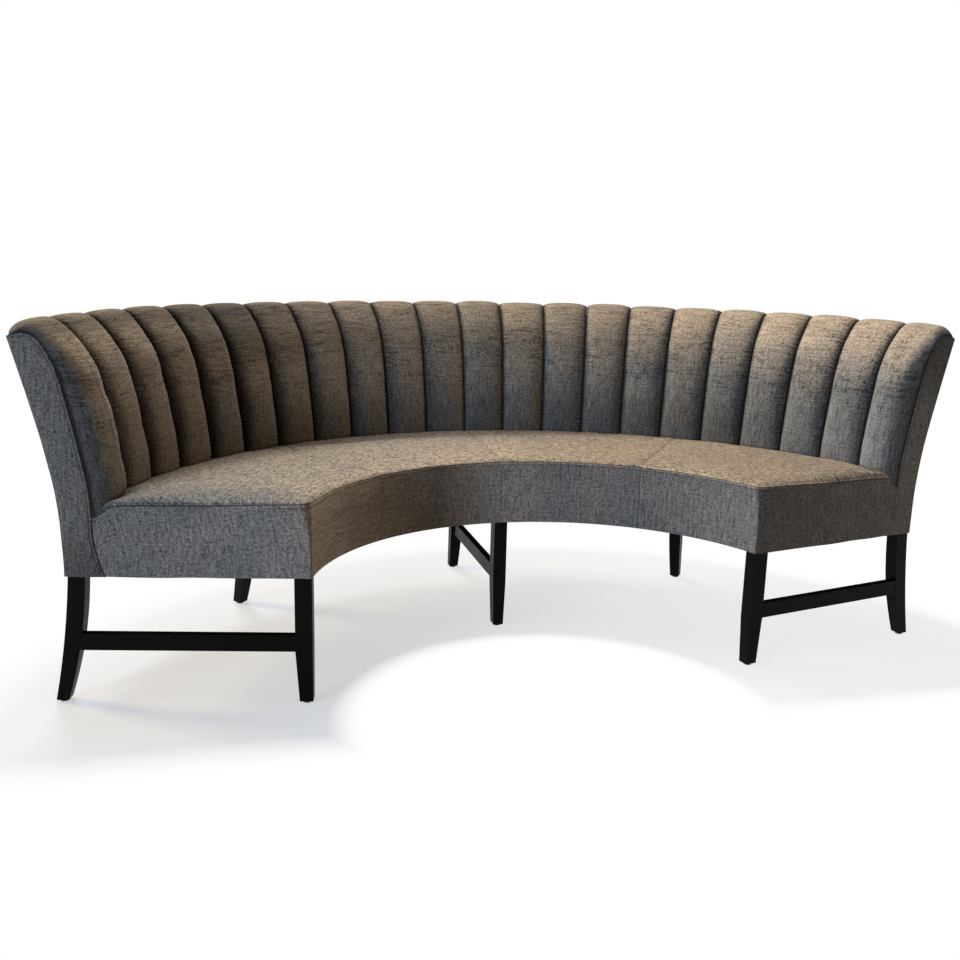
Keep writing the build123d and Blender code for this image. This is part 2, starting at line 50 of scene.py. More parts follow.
# Plan of the bench in metres and degrees. Angles are counted from +X round the axis of the curve.
frontRadius = 0.601         # front edge of the seat
backRadius = 1.090          # where the back begins
endAngle = 12.3             # between an end face and the X axis
endOffset = 0.0615          # from the axis of the curve to an end face
quarterTurn = 90 - 37.3     # the seams beside the middle one
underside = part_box("seat_cover_right_middle")[0].z
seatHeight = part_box("seat_cover_right_middle")[1].z
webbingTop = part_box("seat_webbing")[1].z
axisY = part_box("leg_front_centre")[0].y - frontRadius - 0.0005      # the leg stands that far behind the edge


# Angle of the point at this radius that lies a distance inside the +X end face
def endTurn(radius, inside):
    return endAngle + np.degrees(np.arcsin((endOffset + inside) / radius))


# Distance inside the +X end face of the point at this radius and angle
def insideEnd(radius, angle):
    return radius * np.sin(np.radians(angle - endAngle)) - endOffset


# Points from radius, angle and height. side -1 turns x round, for the left half.
def placed(radius, angle, height, side):
    radius, angle, height = np.broadcast_arrays(radius, np.radians(angle), height)
    return np.stack([side * radius * np.cos(angle), axisY + radius * np.sin(angle), height], -1)


# An S from 0 to 1 between start and start + reach. A negative reach turns it round.
def rising(x, start=0.0, reach=1.0):
    x = np.clip((x - start) / reach, 0, 1)
    return x * x * (3 - 2 * x)


def steps(x, *rises):       # sum of such S, each with its start, reach and height
    return sum(height * rising(x, start, reach) for start, reach, height in rises)


def bell(x, width):     # 1 at 0 and about a third at the width
    return np.exp(-(x / width) ** 2)


def unit(vectors):      # the same directions, 1 long
    return vectors / np.maximum(np.linalg.norm(vectors, axis=-1, keepdims=True), 1e-12)


def apart(a, b):        # distances between points
    return np.linalg.norm(a - b, axis=-1)


def runLength(points, axis=0):      # length run through points along an axis, from 0
    legs = np.diff(points, axis=axis, prepend=np.take(points, [0], axis))
    return np.cumsum(np.linalg.norm(legs, axis=-1), axis=axis)


# Sum of plane waves of about this size in chance directions, from about -1 to 1
def waviness(points, size, seed, waves=9):
    chance = np.random.default_rng(seed)
    turns = chance.normal(size=(waves, points.shape[-1]))
    turns *= chance.uniform(0.6, 1.5, (waves, 1)) / np.linalg.norm(turns, axis=1, keepdims=True)
    phases = chance.uniform(0, 2 * np.pi, waves)
    return np.sin(points @ turns.T * (2 * np.pi / size) + phases).sum(-1) / np.sqrt(2 * waves)


# Places from 0 to 1, closer together at the start and the end
def crowded(count, start, end, reach=0.06):
    t = np.linspace(0, 1, count)
    density = 1 + start * np.exp(-t / reach) + end * np.exp(-(1 - t) / reach)
    run = np.concatenate([[0], np.cumsum(2 / (density[1:] + density[:-1]))])
    return run / run[-1]


# Natural cubic through points, measured by the straight runs between them, then walked by its own length:
# shares are places along it from 0 to 1
def lineThrough(points, shares):
    p = np.array(points, float)
    t = runLength(p)
    h = np.diff(t)
    count = len(p)
    system = np.eye(count)
    inner = np.arange(1, count - 1)
    system[inner, inner - 1] = h[:-1]
    system[inner, inner] = 2 * (h[:-1] + h[1:])
    system[inner, inner + 1] = h[1:]
    change = np.zeros_like(p)
    change[1:-1] = 6 * np.diff(np.diff(p, axis=0) / h[:, None], axis=0)
    bend = np.linalg.solve(system, change)
    x = np.linspace(0, t[-1], 1500)
    k = np.clip(np.searchsorted(t, x) - 1, 0, count - 2)
    step = h[k][:, None]
    a = (t[k + 1] - x)[:, None] / step
    b = 1 - a
    fine = a * p[k] + b * p[k + 1] + ((a ** 3 - a) * bend[k] + (b ** 3 - b) * bend[k + 1]) * step ** 2 / 6
    run = runLength(fine)
    return np.stack([np.interp(np.asarray(shares) * run[-1], run, fine[:, i]) for i in range(p.shape[1])], -1)


# Unit vectors square to a flat line, to its left
def squareTo(line):
    along = unit(np.gradient(line, axis=0))
    return np.stack([-along[:, 1], along[:, 0]], -1)


# Lengths along the columns and the rows of a grid, as places on the cloth in metres
def clothPlaces(grid, start=(0.0, 0.0), turned=False):
    across = runLength(grid, 1)
    across -= across[:, grid.shape[1] // 2][:, None]
    places = np.stack([across, runLength(grid)], -1)
    return (places[..., ::-1] if turned else places) + np.array(start)


def crossed(grid):      # vectors square to a grid, longer where its cells are larger
    return np.cross(np.gradient(grid, axis=1), np.gradient(grid, axis=0))


# Unit vectors square to a grid, turned to the side where outward points
def gridNormals(grid, outward):
    n = unit(crossed(grid))
    return n * np.sign((n @ np.array(outward, float)).sum())


# Pile tone with painted light: warm where the cloth faces up or to +X, slate where it faces the front or -X
# The warm side stands in for light from above, the slate side for cool shade on faces to the front.
def pileToneAndPaintedLight(normals, shift=0.0):
    aside = np.where(normals[..., 0] > 0, 0.42, 0.12) * normals[..., 0]
    return 0.08 + 0.62 * rising(normals[..., 2] * 1.15) + aside + shift


# Painted shade in a crease: the share of brightness kept, with depth lost at the line itself, less further
# away. A negative depth paints a highlight on a ridge instead.
def paintedCreaseLight(distance, depth, width):
    return 1 - depth * bell(distance, width)


# What a seam does to the cloth at a distance from it: how deep the stitch line beside it lies, and the painted
# shade of seam and stitches with a painted highlight on the ridge between them
def sewn(numbers, edge):
    fromStitch = edge - numbers["stitchLine"]
    light = paintedCreaseLight(edge, *numbers["edgeCreaseShade"]) * paintedCreaseLight(fromStitch, *numbers["stitchCreaseShade"])
    return (numbers["stitchPinch"] * bell(fromStitch, numbers["stitchWidth"]),
            light * paintedCreaseLight(edge - numbers["ridgePlace"], *numbers["ridge"]))


def numbered(grid):     # vertex numbers of a grid
    return np.arange(grid.shape[0] * grid.shape[1]).reshape(grid.shape[:2])


def quads(index):       # faces between neighbours in a grid of vertex numbers
    return np.stack([index[:-1, :-1], index[1:, :-1], index[1:, 1:], index[:-1, 1:]], -1).reshape(-1, 4)


# Faces of a grid, turned to the side where outward points
def facesToward(grid, outward, first=0):
    faces = quads(numbered(grid) + first)
    return faces[:, ::-1] if (crossed(grid) @ np.array(outward, float)).sum() > 0 else faces


# Mesh with the places on the cloth as its UV map. Its attributes are the pile tone with painted light by
# facing, a brightness factor that paints light and shade, and crinkle, how much fine folds show with their
# painted shade.
def clothMesh(name, points, faces, places, napAndPaintedLight, paintedBrightness, closed=True, crinkle=0.0):
    mesh = bpy.data.meshes.new(name)
    mesh.from_pydata(points.reshape(-1, 3).tolist(), [], faces)
    corners = np.zeros(len(mesh.loops), np.int32)
    mesh.loops.foreach_get("vertex_index", corners)
    layer = mesh.uv_layers.new(name="cloth")
    layer.data.foreach_set("uv", places.reshape(-1, 2)[corners].astype(np.float32).ravel())
    for key, values in (("napAndPaintedLight", napAndPaintedLight), ("paintedBrightness", paintedBrightness), ("crinkle", crinkle)):
        values = np.broadcast_to(np.ravel(values), len(mesh.vertices)).astype(np.float32)
        mesh.attributes.new(key, "FLOAT", "POINT").data.foreach_set("value", values)
    work = bmesh.new()
    work.from_mesh(mesh)
    bmesh.ops.remove_doubles(work, verts=work.verts, dist=2e-6)
    if closed:
        bmesh.ops.recalc_face_normals(work, faces=work.faces)
    work.to_mesh(mesh)
    work.free()
    mesh.shade_smooth()
    mesh.set_sharp_from_angle(angle=np.radians(58))
    return mesh


# Closed mesh whose rows are loops: the last column joins the first, and flat faces close both ends
def loopMesh(name, grid, places, napAndPaintedLight, paintedBrightness, crinkle):
    index = numbered(grid)
    faces = quads(index).tolist() + quads(index[:, [-1, 0]]).tolist()
    faces += [index[0].tolist(), index[-1, ::-1].tolist()]
    return clothMesh(name, grid, faces, places, napAndPaintedLight, paintedBrightness, crinkle=crinkle)


# Closed mesh under a grid: its border folds in to the place a few rows and columns inside it, a drop lower,
# and goes straight down to a height, where strips from side to side close it
def skirtMesh(name, grid, places, napAndPaintedLight, paintedBrightness, fold, drop, height):
    rows, columns = grid.shape[:2]
    index = numbered(grid)
    border = np.concatenate([index[0], index[1:, -1], index[-1, -2::-1], index[-2:0:-1, 0]])
    row, column = np.divmod(border, columns)
    tucked = grid[np.clip(row, fold, rows - 1 - fold), np.clip(column, fold, columns - 1 - fold)]
    tucked[:, 2] = grid.reshape(-1, 3)[border, 2] - drop
    low = tucked.copy()
    low[:, 2] = height
    faces = quads(index).tolist()
    rings = [border] + [index.size + k * len(border) + np.arange(len(border)) for k in (0, 1)]
    for pair in zip(rings, rings[1:]):
        faces += quads(np.pad(np.stack(pair, -1), ((0, 1), (0, 0)), "wrap")).tolist()
    ring = rings[2]
    right = ring[columns - 1:columns - 1 + rows]
    left = np.roll(ring[::-1], 1)[:rows]
    faces += quads(np.stack([left, right])[:, 1:-1]).tolist()
    faces.append(ring[:columns + 1].tolist() + [left[1]])
    faces.append(ring[columns + rows - 3:2 * columns + rows - 1].tolist())
    points = np.concatenate([grid.reshape(-1, 3), tucked, low])
    every = np.concatenate([index.ravel(), border, border])
    napAndPaintedLight, paintedBrightness = napAndPaintedLight.ravel()[every], paintedBrightness.ravel()[every]
    return clothMesh(name, points, faces, places.reshape(-1, 2)[every], napAndPaintedLight, paintedBrightness)


# Open mesh that faces outward, for a sheet of cloth
def sheetMesh(name, grid, places, napAndPaintedLight, paintedBrightness, outward, crinkle=0.0):
    return clothMesh(name, grid, facesToward(grid, outward).tolist(), places, napAndPaintedLight, paintedBrightness, False, crinkle)


def newObject(name, data):
    thing = bpy.data.objects.new(name, data)
    bpy.context.scene.collection.objects.link(thing)
    return thing


def newPiece(name, mesh, slot="chenille", material=None):
    piece = newObject(name, mesh)
    mesh.materials.append(material or slotMaterials[slot])
    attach(piece, "root")
    return piece


# Gives a sheet its thickness, inwards, and hides the parts it replaces
def newSheet(name, mesh, flat, area, restsOn, nodes, slot="chenille", thickness=0.0015):
    piece = newPiece(name, mesh, slot)
    wall = piece.modifiers.new("wall", "SOLIDIFY")
    wall.thickness = thickness
    wall.offset = -1
    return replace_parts(piece, *nodes)


# Materials: small helpers first. Inputs get a value or a link, and i with a number is an input's place.
def setInputs(node, inputs):
    for name, value in inputs.items():
        socket = node.inputs[int(name[1:]) if name[0] == "i" and name[1:].isdigit() else name]
        if isinstance(value, bpy.types.NodeSocket):
            node.id_data.links.new(value, socket)
        else:
            socket.default_value = value


def addNode(tree, kind, settings=None, **inputs):       # gives the new node's outputs
    node = tree.nodes.new(kind)
    for name, value in (settings or {}).items():
        setattr(node, name, value)
    setInputs(node, inputs)
    return node.outputs


def newMaterial(name):
    material = bpy.data.materials.new(name)
    material.use_nodes = True
    tree = material.node_tree
    return material, tree, tree.nodes["Principled BSDF"]


# Functions for one tree: add, take, times, larger, size and sine. Each adds a node for one or two values.
def sums(tree):
    def maker(operation):
        return lambda a, b=0.0, clamp=False: addNode(
            tree, "ShaderNodeMath", {"operation": operation, "use_clamp": clamp}, i0=a, i1=b)[0]
    return [maker(name) for name in ("ADD", "SUBTRACT", "MULTIPLY", "MAXIMUM", "ABSOLUTE", "SINE")]


def mixed(tree, share, a, b, blend="MIX"):
    values = [(*c, 1) if isinstance(c, tuple) else c for c in (a, b)]
    return addNode(tree, "ShaderNodeMix", {"data_type": "RGBA", "blend_type": blend}, i0=share, i6=values[0],
                   i7=values[1])[2]


# A value carried over from one range to another
def ranged(tree, value, start, end, low, high, **settings):
    numbers = {"From Min": start, "From Max": end, "To Min": low, "To Max": high}
    return addNode(tree, "ShaderNodeMapRange", settings, Value=value, **numbers)[0]


def noise(tree, place, scale, detail, twist=0.0):
    settings = {"Scale": scale, "Detail": detail, "Distortion": twist}
    return addNode(tree, "ShaderNodeTexNoise", Vector=place, **settings)["Fac"]


# Noise with spots of a given size on the cloth, in metres, spread between -reach and reach
def clothNoise(tree, places, sizeAcross, sizeAlong, reach, detail, shift, twist):
    mapped = addNode(tree, "ShaderNodeMapping", Vector=places, Location=(shift, shift, shift),
                     Scale=(1 / sizeAcross, 1 / sizeAlong, 1))[0]
    return ranged(tree, noise(tree, mapped, 1.0, detail, twist), 0.25, 0.75, -reach, reach, clamp=False)


def addBump(tree, shader, height, strength, distance, **normal):
    bump = addNode(tree, "ShaderNodeBump", Height=height, Strength=strength, Distance=distance, **normal)
    setInputs(shader, {"Normal": bump[0]})


# Pile cloth. Each noise has its size across and along the cloth in metres, reach, detail, shift and twist.
chenille = {
    "slate": (0.098, 0.102, 0.107),     # looking into the pile; also painted cool shade where the cloth faces the front
    "warm": (0.345, 0.265, 0.178),      # looking along the pile; also painted warm light where the cloth faces up
    "pale": (0.560, 0.470, 0.350),      # tips of the slubs
    "tipStart": 0.40, "tipShare": 0.6,
    "darkest": 0.12,                    # light left in the deepest grain
    "threadPitch": 0.0016,
    "weave": 0.35,
    "clouds": (0.110, 0.140, 0.08, 3, 0, 0),
    "flecks": (0.0068, 0.0058, 0.52, 4, 9, 0.3),
    "slubs": (0.055, 0.0050, 0.46, 2, 13, 0.2),
    "streaks": (0.0056, 0.040, 0.44, 2, 17, 0.2),
    "folds": (0.170, 0.0190, 1.0, 2, 23, 0.3),
    "foldSharpness": 6.0, "foldShade": 0.50, "foldDepth": 1.6,
    "finish": {"Roughness": 0.92, "Specular IOR Level": 0.12, "Sheen Weight": 0.20, "Sheen Roughness": 0.45,
               "Sheen Tint": (0.82, 0.80, 0.78, 1)},
}
# The seat's top has the same cloth laid across the light, so that it shows as short dashes
seatChenille = chenille | {"flecks": (0.0084, 0.0076, 0.80, 4, 9, 1.0),
                           "slubs": (0.022, 0.0080, 0.80, 2, 13, 0.8)}


# Two colours mixed by the pile tone with painted light, with clouds, flecks, slubs where it is warm and
# streaks where it is slate. Folds are thin lines where their noise crosses zero, painted darker as shade and
# given relief. A brightness attribute paints light and shade over all.
def makeChenille(name, numbers):
    material, tree, shader = newMaterial(name)
    add, take, times, larger, size, sine = sums(tree)
    places = addNode(tree, "ShaderNodeUVMap", {"uv_map": "cloth"})[0]
    napAndPaintedLight, paintedBrightness, crinkle = (addNode(tree, "ShaderNodeAttribute", {"attribute_name": key})["Fac"]
                           for key in ("napAndPaintedLight", "paintedBrightness", "crinkle"))
    clouds, flecks, slubs, streaks, folds = (clothNoise(tree, places, *numbers[key])
                                             for key in ("clouds", "flecks", "slubs", "streaks", "folds"))
    # mix of the two colours: the pile tone with painted light, with clouds and a little of the flecks
    toneAndPaintedLight = add(napAndPaintedLight, add(clouds, times(flecks, 0.12)), True)
    grain = add(flecks, mixed(tree, toneAndPaintedLight, streaks, slubs))
    line = times(take(1.0, times(size(folds), numbers["foldSharpness"]), True), crinkle)
    # brightness: the grain, less painted shade in the fold lines, times the painted light and shade of the
    # brightness attribute
    light = take(add(grain, 1.0), times(line, numbers["foldShade"]))
    light = times(larger(light, numbers["darkest"]), paintedBrightness)
    base = mixed(tree, toneAndPaintedLight, numbers["slate"], numbers["warm"])
    lit = mixed(tree, 1.0, base, light, "MULTIPLY")
    tips = times(times(take(grain, numbers["tipStart"], True), numbers["tipShare"]), paintedBrightness)
    tips = times(tips, add(toneAndPaintedLight, 0.10), True)
    split = addNode(tree, "ShaderNodeSeparateXYZ", Vector=places)
    turns = 2 * np.pi / numbers["threadPitch"]
    weave = times(times(sine(times(split[0], turns)), sine(times(split[1], turns))), numbers["weave"])
    relief = take(add(weave, grain), times(line, numbers["foldDepth"]))
    addBump(tree, shader, relief, 0.6, 0.0009)
    setInputs(shader, {"Base Color": mixed(tree, tips, lit, numbers["pale"])} | numbers["finish"])
    return material


lacquer = {"colour": (0.0010, 0.0010, 0.0011), "worn": (0.004, 0.004, 0.0035), "specular": 0.065,
           "bevel": 0.0014}


# Black satin lacquer over wood: faint upright grain, softened corners that show a little wear
def makeLacquer():
    material, tree, shader = newMaterial("blackLacquer")
    add, take, times = sums(tree)[:3]
    place = addNode(tree, "ShaderNodeTexCoord")["Object"]
    grainPlace = addNode(tree, "ShaderNodeMapping", Vector=place, Scale=(420, 420, 14))[0]
    cloud = noise(tree, place, 24.0, 3.0)
    rounded = addNode(tree, "ShaderNodeBevel", {"samples": 4}, Radius=lacquer["bevel"])[0]
    flat = addNode(tree, "ShaderNodeNewGeometry")["Normal"]
    turned = addNode(tree, "ShaderNodeVectorMath", {"operation": "DOT_PRODUCT"}, i0=rounded, i1=flat)
    corner = times(take(1.0, turned["Value"]), 3.0, True)
    wear = times(corner, times(cloud, 1.4), True)
    addBump(tree, shader, noise(tree, grainPlace, 1.0, 3.0), 0.16, 0.0004, Normal=rounded)
    setInputs(shader, {"Base Color": mixed(tree, wear, lacquer["colour"], lacquer["worn"]),
                       "Roughness": add(times(cloud, 0.16), 0.33), "Specular IOR Level": lacquer["specular"]})
    return material


# Noise stretched by scale mixes two tones and gives the relief
def makePlain(name, dark, light, scale, relief, roughness, metallic=0.0):
    material, tree, shader = newMaterial(name)
    place = addNode(tree, "ShaderNodeTexCoord")["Object"]
    grain = noise(tree, addNode(tree, "ShaderNodeMapping", Vector=place, Scale=scale)[0], 1.0, 4.0)
    addBump(tree, shader, grain, 0.3, relief)
    setInputs(shader, {"Base Color": mixed(tree, grain, dark, light), "Roughness": roughness,
                       "Metallic": metallic})
    return material


# Finishes that show from below or inside: name, dark and light tone, scale, relief, roughness, metallic
plainFinishes = {
    "dust_cloth": ("dustCloth", (0.012,) * 3, (0.042,) * 3, (700,) * 3, 0.0004, 0.88),
    "foam": ("seatFoam", (0.70, 0.66, 0.52), (0.85, 0.82, 0.70), (500,) * 3, 0.0006, 0.9),
    "webbing": ("strap", (0.02,) * 3, (0.10,) * 3, (300,) * 3, 0.0004, 0.85),
    "frame_wood": ("frameTimber", (0.46, 0.33, 0.20), (0.62, 0.48, 0.32), (14, 14, 90), 0.0004, 0.8),
    "plywood": ("ribPlywood", (0.55, 0.42, 0.27), (0.70, 0.57, 0.40), (30, 30, 240), 0.0003, 0.75),
    "lining_board": ("liningBoard", (0.36, 0.26, 0.16), (0.48, 0.36, 0.24), (60,) * 3, 0.0003, 0.85),
    "glide_plastic": ("glidePlastic", (0.035,) * 3, (0.065,) * 3, (800,) * 3, 0.0002, 0.55),
    "bolt_steel": ("boltSteel", (0.42,) * 3, (0.60,) * 3, (900,) * 3, 0.0001, 0.35, 1.0),
}
slotMaterials = {"chenille": makeChenille("chenillePile", chenille), "black_wood": makeLacquer()}
slotMaterials |= {slot: makePlain(*finish) for slot, finish in plainFinishes.items()}
seatMaterial = makeChenille("chenilleSeat", seatChenille)
for part in frame["record"]["subparts"]:
    node = frame["nodes"][part["node"]]
    node.data.materials.clear()
    node.data.materials.append(slotMaterials[part["material_slot"]])
print("materials made")


# Seat: the top is cut to the quarters, and the bands and hem hang from its edge
seat = {
    "frontRise": 0.492,         # height of the front edge
    "crownMargin": 0.090,       # the crown levels out this far in front of the back
    "edgeRound": 0.012,         # rounding over the front edge
    "endRound": 0.024,          # rounding over the end edge, near the back
    "endTuck": 0.028,           # and how much deeper it is where seat, back and end panel meet
    "seamTurn": 35.0,           # the front seam lies this far up the rounding, in degrees
    "endSeamTurn": 9.0,
    "rearDip": 0.004,           # the top falls this much under the channels
    "rearFall": 0.012,          # and this much more towards its rear corner
    "cornerRound": 0.023,       # corner of the top in plan
    "cornerPull": 0.007,        # the top corner is drawn in this far
}


# Height of the seat's top away from its edges: a flat arc up to the crown, level, and a dip at the back
def crownHeight(radius):
    level = backRadius - seat["crownMargin"]
    reach = level - frontRadius - seat["edgeRound"]
    fall = (seatHeight - seat["frontRise"]) * (np.clip(level - radius, 0, None) / reach) ** 2
    dip = seat["rearDip"] * rising(radius, backRadius - 0.065, 0.040)
    return seatHeight - fall - dip


# Rounding of the end edge: grows from the front corner to the back, and most in the last stretch
def endRounding(radius):
    grown = np.interp(radius, (frontRadius, backRadius), (seat["edgeRound"], seat["endRound"]))
    return grown + seat["endTuck"] * rising(radius, backRadius - 0.045, 0.045)


def endSeamAngle(radius):       # how far up the rounding the end seam lies, in degrees
    share = rising(radius, frontRadius, 0.25)
    return seat["seamTurn"] + (seat["endSeamTurn"] - seat["seamTurn"]) * share


# Height of the finished seat top at a distance behind the front and inside the end face: the crown less a
# quarter circle towards the nearest edge and a fall towards the rear corner
def seatTop(behind, inside):
    radius = frontRadius + behind
    corner = seat["cornerRound"]
    cut = np.hypot(np.clip(corner - behind, 0, corner), np.clip(corner - inside, 0, corner))
    inCorner = (behind < corner) & (inside < corner)
    distance = np.where(inCorner, corner - cut, np.minimum(behind, inside))
    rounding = np.where(inside < behind, endRounding(radius), seat["edgeRound"])
    fall = seat["rearFall"] * rising(radius, backRadius - 0.150, 0.150)
    fall = fall * rising(inside, 0.130, -0.100) * rising(inside, 0.004, 0.020)
    left = np.clip(rounding - distance, 0, rounding)
    return crownHeight(radius) - (rounding - np.sqrt(rounding ** 2 - left ** 2)) - fall


# The front corner is drawn in, more so towards the top: points near it move along its diagonal
def drawCorner(points, side):
    corner = placed(frontRadius, endTurn(frontRadius, 0), 0, side)
    inner = frontRadius + 0.1
    inward = unit(placed(inner, endTurn(inner, 0.1), 0, side) - corner)
    near = bell(apart(points[..., :2], corner[:2]), 0.050)
    rise = np.clip((points[..., 2] - webbingTop + 0.012) / (seatHeight - webbingTop), 0, 1) ** 1.3
    return points + inward * (seat["cornerPull"] * near * rise)[..., None]


pad = {
    "rows": 121, "columns": 97, "stride": 4, "gap": 0.0003, "fold": 3, "drop": 0.0016,
    "stitchLine": 0.0052,
    "seamPinch": 0.0008, "seamWidth": 0.0045, "stitchPinch": 0.0007, "stitchWidth": 0.0011, "wave": 0.0008,
    # painted shade turns the pile tone to slate at the left: start, reach and height, by x and by distance
    # from the end face
    "napAndPaintedLightLeft": (-0.45, -0.4, -0.14), "napAndPaintedLightEnd": (0.15, -0.14, -0.30),
    # painted shadow of the back on a strip of the seat along the back: where it begins, what brightness it
    # keeps and how it fades, by x
    "shadowStripPlaces": (-0.85, -0.60, -0.40, -0.22, 0.0, 0.27, 0.50, 0.80),
    "shadowStripStart": (1.040, 0.995, 0.948, 0.930, 0.920, 0.945, 0.995, 1.040),
    "shadowStripLight": (0.45, 0.42, 0.45, 0.52, 0.69, 0.74, 0.78, 1.0),
    "shadowStripFade": 0.005, "shadowStripFadeLeft": (-0.40, -0.25, 0.022), "shadowStripNap": 0.10,
    # painted brightness and its changes by x
    "paintedBrightness": 1.50, "paintedBrightnessRight": ((-0.2, 0.6, -0.42), (0.5, 0.3, -0.12)), "paintedBrightnessLeft": (-0.7, -0.25, -0.12),
    # painted shade in the creases by the seams and stitches, and a painted highlight on the ridge between
    # them: depth and width
    "seamCreaseShade": (0.18, 0.0018), "stitchCreaseShade": (0.5, 0.0011), "ridgePlace": 0.0036,
    "edgeCreaseShade": (0.75, 0.0016), "ridge": (-0.25, 0.0017),
}
paintedHighlightPad = pad | {"edgeCreaseShade": (0.35, 0.0016), "ridge": (-1.1, 0.0028)}       # the right one at the end, with less painted shade in the edge crease and a stronger painted highlight on the ridge


# Top of one seat pad: rows run from its seam nearer the middle to the other one or the end, columns from the
# front seam to the back. In the corner both p and q, the nearness to the two edges, are above 0.
def padGrid(quarter, side):
    seamDepth = seat["edgeRound"] * (1 - np.cos(np.radians(seat["seamTurn"])))
    depth = backRadius - frontRadius - pad["gap"]
    behind = seamDepth + (depth - seamDepth) * crowded(pad["columns"], 7, 1)[None, :]
    radius = frontRadius + behind
    if quarter == "middle":
        gapTurn = np.degrees(pad["gap"] / radius)
        share = crowded(pad["rows"], 2, 2)[:, None]
        turn = (90 - gapTurn) + (quarterTurn + 2 * gapTurn - 90) * share
        behind = behind + 0 * turn
        inside = insideEnd(radius, turn)
    else:
        edge = endRounding(radius) * (1 - np.cos(np.radians(endSeamAngle(radius))))
        whole = insideEnd(radius, quarterTurn - np.degrees(pad["gap"] / radius))
        inside = edge + (whole - edge) * crowded(pad["rows"], 7, 2)[::-1, None]
        corner = seat["cornerRound"]
        p = np.clip((corner - behind) / (corner - seamDepth), 0, 1) + 0 * inside
        q = np.clip((corner - inside) / (corner - edge), 0, 1)
        both = (p > 0) & (q > 0)
        roundedBehind = corner - (corner - seamDepth) * p * np.sqrt(1 - q * q / 2)
        behind = np.where(both, roundedBehind, behind + 0 * inside)
        inside = np.where(both, corner - (corner - edge) * q * np.sqrt(1 - p * p / 2), inside)
        radius = frontRadius + behind
        turn = endTurn(radius, inside)
    return drawCorner(placed(radius, turn, seatTop(behind, inside), side), side)


endFace = {
    # seam on the end face between the end panel and the band and last channel: distance along, height
    "seam": [(1.0680, 0.3105), (1.0765, 0.330), (1.0835, 0.356), (1.0890, 0.385), (1.0920, 0.416),
             (1.0925, 0.450), (1.0935, 0.480), (1.0955, 0.512), (1.1080, 0.589), (1.1230, 0.665),
             (1.1370, 0.729), (1.1500, 0.782), (1.1670, 0.822), (1.1880, 0.853), (1.2050, 0.8635),
             (1.2230, 0.8650), (1.2390, 0.8615), (1.2518, 0.8560)],
    # outside of the back: radius, height
    "outside": [(1.1650, 0.3105), (1.1720, 0.499), (1.2020, 0.651), (1.2540, 0.856)],
}
seamPoints = lineThrough(endFace["seam"], np.linspace(0, 1, 300))

band = {
    "hem": 0.030, "foldRound": 0.003, "frontRows": 90, "cornerRows": 13, "endRows": 90, "cornerFoot": 0.0045,
    "seamPinch": 0.0009, "seamWidth": 0.0028, "stitchPinch": 0.0006, "stitchWidth": 0.0013, "wave": 0.0007,
    "stitchLine": 0.0085,
    "flat": {"middle": ((0.400, 0.222), 0.0860), "end": ((0.865, 0.222), 0.1830)},      # width, height; area
    # painted brightness at the inner seam, half-way and at the outer one, or on the front, after the corner,
    # at the back
    "paintedBrightness": {(-1, "middle"): (1.98, 0.76, 1.00), (1, "middle"): (1.98, 1.60, 1.45),
              (-1, "end"): (1.50, 1.70, 1.30), (1, "end"): (1.45, 0.76, 1.15)},
    # changes of the pile tone with painted light and of the painted brightness on the left half: start, reach
    # and height, by the share of the length or by height
    "napAndPaintedLightLeft": (0.3, 0.6, 0.18), "napAndPaintedLightFront": 0.22,
    "paintedBrightnessInner": (0.30, -0.3, -0.3), "paintedBrightnessUpper": (0.42, 0.06, 0.30),
    # painted shade in the creases by the edge and the stitches, and a painted highlight on the ridge between
    # them: depth and width
    "edgeCreaseShade": (0.88, 0.0027), "stitchCreaseShade": (0.6, 0.0015),
    "ridgePlace": 0.0045, "ridge": (-0.3, 0.0016),
}


# Distance in from the face and height of every column of a band: hem, low fold, wall, and the rounding up to
# the seam, which lies turnTo degrees up
def bandColumns(top, rounding, turnTo):
    top, rounding, turnTo = (np.asarray(x, float)[..., None] for x in (top, rounding, turnTo))
    fold = band["foldRound"]
    hem = np.linspace(band["hem"], fold, 6)[:-1]
    foldTurn = np.radians(np.linspace(0, 90, 6))[:-1]
    wall = np.linspace(0, 1, 24)[:-1]
    turnUp = np.radians(turnTo * np.linspace(0, 1, 10))
    low = underside + fold
    back = [hem, fold * (1 - np.sin(foldTurn)), 0 * wall, rounding * (1 - np.cos(turnUp))]
    height = [underside + 0 * hem, underside + fold * (1 - np.cos(foldTurn)),
              low + (top - rounding - low) * wall, top - rounding * (1 - np.sin(turnUp))]
    return (np.concatenate([part + 0 * top for part in parts], -1) for parts in (back, height))


